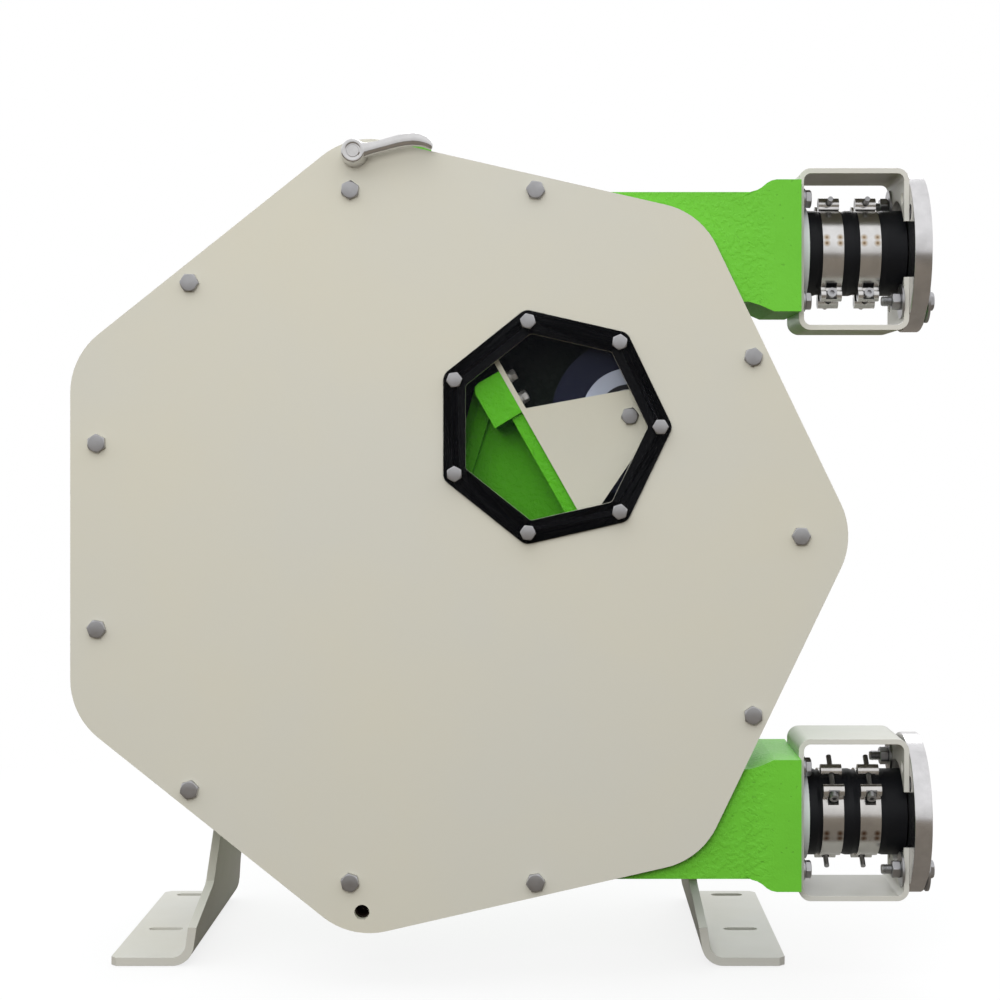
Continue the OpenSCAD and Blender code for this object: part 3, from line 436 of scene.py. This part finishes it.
MATERIALS = {
    # The port green carries painted shade down the inside of the cover's blind hole
    "port_green": cast_paint("port_green", GREEN, 0.42, 1.0, PORT_X - 46,
                             [at(HOLE[0], depth, HOLE[1]) for depth in HOLE_DEPTHS]),
    "rotor_green": cast_paint("rotor_green", srgb(96, 193, 38), 0.4, 1.2),
    "cover_cream": sheet_paint("cover_cream", CREAM),
    # Painted light: the cover's cream, made lighter for the roller plates in the dim space behind
    # the window
    "painted_light_plate_cream": sheet_paint("painted_light_plate_cream", srgb(216, 214, 198)),
    "strap_cream": sheet_paint("strap_cream", STRAP_CREAM, 0.35),
    "zinc": metal("zinc", (0.50, 0.50, 0.515, 1), 0.36, scale=160, depth=0.03),
    # Painted light: a much lighter copy of the zinc for the plate bolts in the dim space behind the
    # window
    "painted_light_zinc": metal("painted_light_zinc", (0.85, 0.85, 0.84, 1), 0.5, scale=160, depth=0.03),
    "upper_band": metal("upper_band", (0.76, 0.75, 0.74, 1), 0.24, (0.1, 1, 1), 400, 0.006, 0.05,
                        (srgb(176, 158, 134), weld_points(1, UPPER_WELD_Z))),
    "lower_band": metal("lower_band", (0.72, 0.70, 0.68, 1), 0.24, (0.1, 1, 1), 400, 0.006, 0.05,
                        (srgb(122, 94, 72), weld_points(-1, LOWER_WELD_Z))),
    "turned": metal("turned", (0.75, 0.74, 0.75, 1), 0.2, (4, 0.3, 0.3), 200, 0.006, 0.05),
    "polished": metal("polished", (0.72, 0.71, 0.71, 1), 0.17, depth=0.004, spread=0.04),
    "hose": rubber("hose", srgb(15, 16, 19), 0.45, 0.2),
    "gasket": gloss("gasket", srgb(12, 12, 14), 0.12, 0.08),
    "pane": clear_pane("pane"),
    "collar": rubber("collar", srgb(190, 196, 196), 0.4),
    "roller": speckled("roller", srgb(16, 21, 42), 0.35),
    "ring_grey": rubber("ring_grey", srgb(170, 177, 193), 0.4, 0.4,
                        ([at_rotor(AXLE[0], ROLLER_D0, AXLE[1], turn) for turn in (0, 180)],
                         ROLLER_DARK_R)),
    # Painted shade: a near-black green for the walls of the housing's cavity and the rotor's rear
    # arms
    "painted_shade_casting": cast_paint("painted_shade_casting", srgb(20, 30, 20), 0.35),
}

NODE_FINISH = {
    "housing": "port_green", "bearing_housing": "port_green", "bearing_cover": "port_green",
    "left_leg": "strap_cream", "right_leg": "strap_cream",
    "front_cover": "cover_cream", "upper_bracket": "strap_cream", "lower_bracket": "strap_cream",
    "roller_plates": "painted_light_plate_cream", "rotor": "rotor_green",
    "pump_hose": "hose", "cover_gasket": "gasket", "window_gasket": "gasket",
    "shaft_seal": "gasket", "window_pane": "pane", "hose_collars": "collar",
    "first_roller_tyre": "roller", "second_roller_tyre": "roller",
    "first_roller_hub": "ring_grey", "second_roller_hub": "ring_grey",
    "upper_flange": "turned", "lower_flange": "turned", "drive_shaft": "turned",
    "upper_clamp_bands": "upper_band", "lower_clamp_bands": "lower_band",
    "clamping_lever": "polished", "lever_cap_screw": "polished",
}


def paint_nodes():
    """Gives each CAD node its finish; zinc where none is named."""
    for name, node in frame["nodes"].items():
        node.data.materials.clear()
        node.data.materials.append(MATERIALS[NODE_FINISH.get(name, "zinc")])


# Mesh tools
def along(origin, direction, turn=0.0):
    """A matrix that stands local Z along a direction at a point."""
    aim = direction.normalized().to_track_quat("Z", "Y").to_matrix().to_4x4()
    return Matrix.Translation(origin) @ aim @ Matrix.Rotation(radians(turn), 4, "Z")


def add_rings(bm, place, rings, open_ends=False):
    """Skins a list of rings, each a list of local points in millimetres."""
    loops = [[bm.verts.new(place @ (Vector(p) * MM)) for p in ring] for ring in rings]
    count = len(loops[0])
    for low, high in zip(loops, loops[1:]):
        for i in range(count):
            j = (i + 1) % count
            bm.faces.new((low[i], low[j], high[j], high[i]))
    if not open_ends:
        bm.faces.new(list(reversed(loops[0])))
        bm.faces.new(loops[-1])


def circle_ring(r, z, count):
    """One round ring of local points."""
    return [(r * cos(2 * pi * i / count), r * sin(2 * pi * i / count), z) for i in range(count)]


def add_lathe(bm, place, profile, count=48):
    """Turns a profile of (radius, height) pairs; both ends are closed."""
    add_rings(bm, place, [circle_ring(r, z, count) for r, z in profile])


def hex_radius(flats, angle, corner):
    """The distance to a hexagon with slightly round corners."""
    folded = (angle + pi / 6) % (pi / 3) - pi / 6
    return min(flats / 2 / cos(pi / 6 - abs(folded)), corner)


def hex_ring(flats, limit, z):
    """One ring of a hexagon cut by a cone that reaches limit at this height."""
    ring = []
    for i in range(HEX_POINTS):
        a = 2 * pi * i / HEX_POINTS
        r = min(hex_radius(flats, a, flats / sqrt(3) * 0.985), limit)
        ring.append((r * cos(a), r * sin(a), z))
    return ring


def add_hex_head(bm, place, flats, height):
    """A hexagon head, chamfered and slightly domed on top, with a washer face under it."""
    face = flats * FACE_SHARE
    corner = flats / sqrt(3)
    steps = 6
    rings = [circle_ring(r, z, HEX_POINTS) for r, z in ((face * 0.97, 0), (face, 0.15), (face, 0.5))]
    rings.append(hex_ring(flats, face * 1.04, 0.5))
    rings.append(hex_ring(flats, corner, 0.9))
    for k in range(steps + 1):
        reach = face + (corner - face) * (1 - k / steps)
        rings.append(hex_ring(flats, reach, height - HEAD_DOME - (reach - face) * CHAMFER_SLOPE))
    for k in (0.95, 0.8, 0.6, 0.4, 0.2):
        rings.append(circle_ring(face * k, height - HEAD_DOME * k * k, HEX_POINTS))
    add_rings(bm, place, rings)


def add_nut(bm, place, flats, height, bore):
    """A hexagon nut, chamfered on both faces and open in the middle."""
    face = flats * FACE_SHARE
    corner = flats / sqrt(3)
    edge = 0.6
    steps = 4
    outside = []
    for k in range(steps + 1):
        reach = face + (corner - face) * k / steps
        outside.append((reach, (reach - face) * CHAMFER_SLOPE))
    rings = [circle_ring(bore, edge, HEX_POINTS), circle_ring(bore + edge, 0, HEX_POINTS)]
    rings += [hex_ring(flats, r, z) for r, z in outside]
    rings += [hex_ring(flats, r, height - z) for r, z in reversed(outside)]
    rings += [circle_ring(bore + edge, height, HEX_POINTS),
              circle_ring(bore, height - edge, HEX_POINTS)]
    add_rings(bm, place, rings + rings[:1], open_ends=True)


def add_thread(bm, place, radius, length, pitch):
    """A threaded rod end: a helix of triangular grooves with a chamfered tip."""
    count = 30
    rings_a_turn = 6
    depth = pitch * 0.55
    steps = int(length / pitch * rings_a_turn)
    rings = []
    for k in range(steps + 1):
        z = length * k / steps
        tip = min(1.0, max(0.0, (length - z) / pitch))
        ring = []
        for i in range(count):
            a = 2 * pi * i / count
            phase = (z / pitch - i / count) % 1
            groove = depth * (1 - abs(2 * phase - 1))
            r = min(radius - groove, radius - depth * 1.1 * (1 - tip))
            ring.append((r * cos(a), r * sin(a), z))
        rings.append(ring)
    add_rings(bm, place, rings)


def add_rod(bm, place, radius, length, chamfer=0.6):
    """A round rod with chamfered ends."""
    add_lathe(bm, place, [(radius - chamfer, 0), (radius, chamfer), (radius, length - chamfer),
                          (radius - chamfer, length)], 32)


def piece(name, bm, nodes, finish, smooth=32):
    """Makes an object of a mesh, which stands for CAD nodes and rides on their body."""
    bmesh.ops.recalc_face_normals(bm, faces=bm.faces)
    mesh = bpy.data.meshes.new(name)
    bm.to_mesh(mesh)
    bm.free()
    mesh.polygons.foreach_set("use_smooth", [True] * len(mesh.polygons))
    mesh.set_sharp_from_angle(angle=radians(smooth))
    mesh.materials.append(MATERIALS[finish])
    obj = bpy.data.objects.new(name, mesh)
    bpy.context.scene.collection.objects.link(obj)
    stand_for(obj, nodes)
    return obj


def stand_for(obj, nodes):
    """The object replaces CAD nodes and rides on their body."""
    body = frame["nodes"][nodes[0]]["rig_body"]
    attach(obj, body)
    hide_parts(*nodes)


def softened(node, width, segments=2, second=None, picks=None, shape=None):
    """A copy of a CAD node with every sharp edge rounded by a bevel.

    Faces whose middle picks accepts, given x, depth and z in millimetres, take the second finish.
    Shape is a function that changes the copy first.
    """
    angle = 35
    bm = bmesh.new()
    bm.from_mesh(frame["nodes"][node].data)
    bmesh.ops.remove_doubles(bm, verts=bm.verts, dist=1e-6)
    bmesh.ops.dissolve_limit(bm, angle_limit=radians(0.6), verts=bm.verts, edges=bm.edges)
    if shape:
        shape(bm)
    if picks:
        for face in bm.faces:
            x, y, z = (face.calc_center_median() - at(0, 0, 0)) / MM
            face.material_index = int(picks(x, y, z))
    obj = piece(node + "_soft", bm, [node], NODE_FINISH.get(node, "zinc"), angle)
    if second:
        obj.data.materials.append(MATERIALS[second])
    bevel = obj.modifiers.new("edges", "BEVEL")
    bevel.width = width * MM
    bevel.segments = segments
    bevel.limit_method = "ANGLE"
    bevel.angle_limit = radians(angle)
    bevel.harden_normals = True


# Bolts, nuts and washers
def bolt_row(name, node, heads, size, finish="zinc", collar=0):
    """Hexagon heads on a whole node; heads are (point under the head, direction, turn).

    The turns differ, as fitted bolts stand. A collar is the thickness of a round flange under
    each head.
    """
    radius, flats, height = size
    bm = bmesh.new()
    for point, direction, turn in heads:
        add_hex_head(bm, along(point, direction, turn), flats, height)
        if collar:
            start = point + direction * COLLAR_SUNK * MM
            add_rod(bm, along(start, -direction), flats * 0.56, collar, 0.3)
        start = point + direction * SHANK_SUNK * MM
        add_rod(bm, along(start, -direction), radius, SHANKS[node])
    piece(name, bm, [node], finish, 24)


def cover_bolts():
    heads = []
    for i, a in enumerate(COVER_BOLT_ANGLES):
        x = COVER_BOLT_R * cos(radians(a))
        z = COVER_BOLT_R * sin(radians(a))
        heads.append((at(x, 0, z), -Y_AXIS, 17 * i))
    bolt_row("cover_bolt_set", "cover_bolts", heads, M12)


def window_bolts():
    heads = []
    for i in range(WINDOW_SIDES):
        a = 2 * pi * i / WINDOW_SIDES
        x = WINDOW[0] + WINDOW_BOLT_R * cos(a)
        z = WINDOW[1] + WINDOW_BOLT_R * sin(a)
        heads.append((at(x, PANE_FRONT, z), -Y_AXIS, 23 * i))
    bolt_row("window_bolt_set", "window_bolts", heads, M10)


def bracket_bolts():
    heads = []
    for side in (1, -1):
        for y in (-1, 1):
            for z in (-1, 1):
                point = at(PORT_X + STRAP + WASHER_T, MID + y * BRACKET_BOLT[0],
                           side * PORT_Z + z * BRACKET_BOLT[1])
                heads.append((point, X_AXIS, 20 * (y + 2 * z)))
    bolt_row("bracket_bolt_set", "bracket_bolts", heads, M12)


def fitted_points():
    """The two fitted bolts of each flange, at the flange's back face."""
    for side in (1, -1):
        for turn in (0, 180):
            a = radians(FLANGE_ANGLE + turn)
            yield at(FLANGE_X, MID + FLANGE_BOLT_R * cos(a),
                     side * PORT_Z + FLANGE_BOLT_R * sin(a))


def flange_hardware():
    """The fitted bolts with their threaded ends, and their nuts behind the bracket."""
    radius, flats, height = M12
    bolts = bmesh.new()
    nuts = bmesh.new()
    for i, point in enumerate(fitted_points()):
        head = point + X_AXIS * (FLANGE_T + BIG_WASHER_T) * MM
        add_hex_head(bolts, along(head, X_AXIS, 31 * i), flats, height)
        start = head + X_AXIS * SHANK_SUNK * MM
        add_rod(bolts, along(start, -X_AXIS), radius, SHANKS["flange_bolts"])
        thread = point - X_AXIS * THREAD_START * MM
        add_thread(bolts, along(thread, -X_AXIS), radius, THREAD_L, M12_PITCH)
        seat = point - X_AXIS * (STRAP + WASHER_T) * MM
        add_nut(nuts, along(seat, -X_AXIS, 11 + 40 * i), flats, M12_NUT_H, radius - 0.6)
    piece("flange_bolt_set", bolts, ["flange_bolts"], "zinc")
    piece("flange_nut_set", nuts, ["flange_nuts"], "zinc")


def ring_heads(radius, angles, depth):
    """Heads on a circle about the rotor axis that face the rear."""
    for i, a in enumerate(angles):
        point = at(radius * cos(radians(a)), depth, radius * sin(radians(a)))
        yield point, Y_AXIS, 13 * i


def rear_bolts():
    heads = ring_heads(HOUSING_BOLT_R, range(0, 360, 45), HOUSING_BOLT_D)
    bolt_row("housing_bolt_set", "bearing_housing_bolts", heads, M12)
    heads = ring_heads(LID_BOLT_R, range(30, 360, 60), LID_BOLT_D)
    bolt_row("lid_bolt_set", "bearing_cover_bolts", heads, M8)
    heads = []
    for side in (-1, 1):
        for height in LEG_BOLT_HEIGHTS:
            x = side * (LEG_INSIDE_X - height * tan(radians(LEG_LEAN)) - LEG_BOLT_IN)
            heads.append((at(x, LEG_BOLT_D, height - AXIS.z / MM), Y_AXIS, height))
    bolt_row("leg_bolt_set", "leg_bolts", heads, M16)


def rotor_bolts():
    heads = []
    for turn in (0, 180):
        a = radians(ROTOR_ANGLE + turn)
        out = Vector((cos(a), 0, sin(a)))
        for v in PLATE_BOLT_VS:
            point = at_rotor(CHORD_U + PLATE_T + PLATE_WASHER_T, PLATE_BOLT_D, v, turn)
            heads.append((point, out, v))
    # The plate bolts take the zinc with painted light
    bolt_row("plate_bolt_set", "roller_plate_bolts", heads, PLATE_BOLT, "painted_light_zinc",
             PLATE_WASHER_T)
    heads = [(at_rotor(AXLE[0], PLATE_D0, AXLE[1], turn), -Y_AXIS, 10) for turn in (0, 180)]
    bolt_row("axle_bolt_set", "roller_axle_bolts", heads, AXLE_BOLT)
    bolt_row("retaining_screw_set", "rotor_retaining_screw", [(at(0, SCREW_D, 0), -Y_AXIS, 5)], M16)


# Casings, plates and bands with softened edges: the width of each bevel
EDGES = {
    "front_cover": 0.8, "upper_bracket": 0.9, "lower_bracket": 0.9, "left_leg": 1.0,
    "right_leg": 1.0, "upper_flange": 1.0, "lower_flange": 1.0, "bearing_housing": 2.5,
    "bearing_cover": 1.2, "roller_plates": 0.7, "flange_fender_washers": 0.4,
    "ear_washers": 0.4, "bracket_washers": 0.4, "window_pane": 0.7,
    "upper_clamp_bands": 0.35, "lower_clamp_bands": 0.35,
}


def in_cavity(x, d, z):
    """The walls inside the housing, which are painted dark as shade."""
    return hypot(x, z) < CAVITY_R and CAVITY_DEPTHS[0] < d < CAVITY_DEPTHS[1]


def behind_plate(x, d, z):
    """The rotor's arms beyond the chord, behind the rollers, which are painted dark as shade."""
    a = radians(ROTOR_ANGLE)
    return abs(x * cos(a) + z * sin(a)) > CHORD_U + 1 and d > ARM_D0


def flare_ports(bm):
    """Draws the step between each port's neck and its pad out into a gentle slope."""
    bmesh.ops.bisect_plane(bm, geom=bm.verts[:] + bm.edges[:] + bm.faces[:],
                           plane_co=at(PAD_X + FLARE_L, 0, 0), plane_no=X_AXIS)
    slack = 0.1
    moved = []
    for vert in bm.verts:
        x, y, z = (vert.co - at(0, 0, 0)) / MM
        at_step = abs(x - PAD_X) < 0.5 and abs(z) > PORT_MIN_Z
        if at_step and NECK_HALF - slack < abs(y - MID) < PAD_HALF + slack:
            side = 1 if y > MID else -1
            vert.co.y = at(0, MID + side * NECK_HALF, 0).y
            moved.append(vert)
    bmesh.ops.remove_doubles(bm, verts=moved, dist=0.05 * MM)


def soft_edges():
    """Rounds the edges of plates and castings, and paints shade on the depths of the castings."""
    for node, width in EDGES.items():
        softened(node, width)
    # The cavity walls and the rotor's rear arms take the painted shade finish
    softened("housing", 3.0, 3, "painted_shade_casting", in_cavity, flare_ports)
    softened("rotor", 4.0, 4, "painted_shade_casting", behind_plate)


# The clamping lever: top edge and bottom edge of its arm, in pairs, from the hub to the tip
LEVER_EDGES = (
    ((6, 10.5), (6, -9)), ((14, 9.6), (12, -7.5)), ((25.5, 11.2), (22, -4)),
    ((38.5, 15.1), (36, -0.4)), ((49.7, 18.2), (48, 2.8)), ((60, 20.1), (59, 5)),
    ((68, 20.7), (68, 5.6)), ((76, 19.4), (75.5, 5)), ((83, 16.2), (80.5, 3.9)),
    ((87.3, 12), (83.5, 2.6)), ((89.2, 7.4), (85.8, 1.9)), ((88.9, 4.2), (87.3, 1.9)),
)
# Its hub with the cap screw in the middle: radius and height above the cover
LEVER_HUB = (
    (15.5, 0), (15.4, 1.5), (14.9, 8), (14.5, 14), (13.9, 20), (13.4, 24.5), (13, 26),
    (12.2, 26.8), (11.4, 27), (8.7, 27), (8.4, 26.8), (8.3, 25.4), (7.1, 25.4), (7, 26.5),
    (6.7, 26.8), (3, 26.9),
)
# Its arm: depth before the cover, half its thickness, and how square its section is
ARM_DEPTH = -20.2
ARM_HALF_DEPTH = 6.3
ARM_POWER = 0.8
ARM_POINTS = 36


def lever():
    """The turned hub and the arm, whose rounded section follows both edges and thins at the tip."""
    bm = bmesh.new()
    add_lathe(bm, along(LEVER, -Y_AXIS), LEVER_HUB, 72)
    rings = []
    for top, bottom in LEVER_EDGES:
        cx = (top[0] + bottom[0]) / 2
        cz = (top[1] + bottom[1]) / 2
        ax = (top[0] - bottom[0]) / 2
        az = (top[1] - bottom[1]) / 2
        half = ARM_HALF_DEPTH * min(1, 0.35 + hypot(ax, az) / 9)
        ring = []
        for i in range(ARM_POINTS):
            a = 2 * pi * i / ARM_POINTS
            up = copysign(abs(cos(a)) ** ARM_POWER, cos(a))
            out = copysign(abs(sin(a)) ** ARM_POWER, sin(a))
            ring.append((cx + ax * up, ARM_DEPTH + half * out, cz + az * up))
        rings.append(ring)
    add_rings(bm, Matrix.Translation(LEVER), rings)
    piece("lever_polished", bm, ["clamping_lever", "lever_cap_screw"], "polished", 40)


# Floor, light and camera: how much of the white that the camera sees the part mirrors
FLOOR_MIRRORED = 0.12
SKY_MIRRORED = 0.7

# Half the floor's side and its drop, in metres, which keeps it clear of the feet
FLOOR_HALF = 12
FLOOR_DROP = 0.0006
# The floor shows its shadow out to the first radius and is plain white from the second, in metres
SHADOW_RADII = (0.5, 1.5)
SHADOW_SHARE = 0.2


def seen_ray(tree, mirrored):
    """1 where the camera sees the background, straight or through glass, and less where mirrored."""
    path = tree.nodes.new("ShaderNodeLightPath")
    total = path.outputs["Is Camera Ray"]
    for kind, share in (("Is Glossy Ray", mirrored), ("Is Transmission Ray", 1)):
        part = tree.nodes.new("ShaderNodeMath")
        part.operation = "MULTIPLY"
        part.inputs[1].default_value = share
        either = tree.nodes.new("ShaderNodeMath")
        either.operation = "MAXIMUM"
        tree.links.new(path.outputs[kind], part.inputs[0])
        tree.links.new(total, either.inputs[0])
        tree.links.new(part.outputs["Value"], either.inputs[1])
        total = either.outputs["Value"]
    return total


def floor():
    """The floor, a wide plane just under the feet."""
    bm = bmesh.new()
    bmesh.ops.create_grid(bm, x_segments=1, y_segments=1, size=FLOOR_HALF)
    bmesh.ops.translate(bm, verts=bm.verts, vec=(0, 0, -FLOOR_DROP))
    mesh = bpy.data.meshes.new("floor")
    bm.to_mesh(mesh)
    bm.free()
    obj = bpy.data.objects.new("floor", mesh)
    bpy.context.scene.collection.objects.link(obj)
    mesh.materials.append(floor_material())


def floor_material():
    """White where the camera sees it, with the part's shadow, and dull ground for other light."""
    material = bpy.data.materials.new("floor")
    material.use_nodes = True
    tree = material.node_tree
    tree.nodes.clear()
    output = tree.nodes.new("ShaderNodeOutputMaterial")
    seen = tree.nodes.new("ShaderNodeMixShader")
    pale = tree.nodes.new("ShaderNodeMixShader")
    white = tree.nodes.new("ShaderNodeEmission")
    lit = tree.nodes.new("ShaderNodeBsdfDiffuse")
    ground = tree.nodes.new("ShaderNodeBsdfDiffuse")
    lit.inputs["Color"].default_value = (0.95, 0.95, 0.95, 1)
    ground.inputs["Color"].default_value = (0.11, 0.085, 0.055, 1)
    # The floor is lit near the part, where the shadow falls, and plain white far away.
    place = tree.nodes.new("ShaderNodeTexCoord")
    far = tree.nodes.new("ShaderNodeVectorMath")
    far.operation = "LENGTH"
    share = tree.nodes.new("ShaderNodeMapRange")
    share.inputs["From Min"].default_value = SHADOW_RADII[1]
    share.inputs["From Max"].default_value = SHADOW_RADII[0]
    share.inputs["To Max"].default_value = SHADOW_SHARE
    tree.links.new(place.outputs["Object"], far.inputs[0])
    tree.links.new(far.outputs["Value"], share.inputs["Value"])
    tree.links.new(share.outputs["Result"], pale.inputs["Fac"])
    tree.links.new(white.outputs[0], pale.inputs[1])
    tree.links.new(lit.outputs[0], pale.inputs[2])
    tree.links.new(seen_ray(tree, FLOOR_MIRRORED), seen.inputs[0])
    tree.links.new(ground.outputs[0], seen.inputs[1])
    tree.links.new(pale.outputs[0], seen.inputs[2])
    tree.links.new(seen.outputs[0], output.inputs["Surface"])
    return material


def world():
    """Plain white where the camera sees it, and a soft sky that lights the part."""
    scene_world = bpy.data.worlds.new("studio")
    bpy.context.scene.world = scene_world
    scene_world.use_nodes = True
    tree = scene_world.node_tree
    tree.nodes.clear()
    output = tree.nodes.new("ShaderNodeOutputWorld")
    mix = tree.nodes.new("ShaderNodeMixShader")
    white = tree.nodes.new("ShaderNodeBackground")
    sky = tree.nodes.new("ShaderNodeBackground")
    white.inputs["Color"].default_value = (1, 1, 1, 1)
    sky.inputs["Strength"].default_value = 1.0
    # The light comes from high up and is weak near the horizon.
    place = tree.nodes.new("ShaderNodeTexCoord")
    split = tree.nodes.new("ShaderNodeSeparateXYZ")
    ramp = tree.nodes.new("ShaderNodeValToRGB")
    ramp.color_ramp.elements[0].position = 0.08
    ramp.color_ramp.elements[0].color = (0.34, 0.33, 0.32, 1)
    ramp.color_ramp.elements[1].position = 0.42
    ramp.color_ramp.elements[1].color = (0.97, 0.98, 1.0, 1)
    tree.links.new(place.outputs["Generated"], split.inputs["Vector"])
    tree.links.new(split.outputs["Z"], ramp.inputs["Fac"])
    tree.links.new(ramp.outputs["Color"], sky.inputs["Color"])
    tree.links.new(seen_ray(tree, SKY_MIRRORED), mix.inputs[0])
    tree.links.new(sky.outputs[0], mix.inputs[1])
    tree.links.new(white.outputs[0], mix.inputs[2])
    tree.links.new(mix.outputs[0], output.inputs["Surface"])


def lamp(name, place, target, size, power, mirrored):
    """A soft rectangular lamp that the camera never sees and that metal may mirror."""
    data = bpy.data.lights.new(name, "AREA")
    data.shape = "RECTANGLE"
    data.size, data.size_y = size
    data.energy = power
    obj = bpy.data.objects.new(name, data)
    obj.location = place
    obj.rotation_euler = (Vector(target) - Vector(place)).to_track_quat("-Z", "Y").to_euler()
    obj.visible_camera = False
    obj.visible_glossy = mirrored
    bpy.context.scene.collection.objects.link(obj)


def camera():
    """The camera at the photograph's viewing angle."""
    data = bpy.data.cameras.new("camera")
    data.lens = 71.6
    data.sensor_width = 36
    data.shift_x = -0.045
    data.shift_y = -0.060
    obj = bpy.data.objects.new("camera", data)
    obj.location = (0.1155, -2.596, 0.6247)
    obj.rotation_euler = (pi / 2, 0, 0)
    bpy.context.scene.collection.objects.link(obj)
    bpy.context.scene.camera = obj


# The scene
paint_nodes()
cover_bolts()
window_bolts()
bracket_bolts()
flange_hardware()
rear_bolts()
rotor_bolts()
soft_edges()
lever()
floor()
world()
lamp("key", (-0.3, -2.7, 2.9), (0.1, -0.2, 0.6), (2.8, 2.6), 26, mirrored=False)
lamp("fill", (-0.25, -3.0, 1.25), (0.1, -0.2, 0.65), (1.0, 0.9), 30, mirrored=False)
lamp("back", (0.5, 2.8, 2.6), (0, 0, 0.6), (2.0, 1.4), 30, mirrored=True)
camera()
bpy.context.scene.view_settings.view_transform = "Standard"
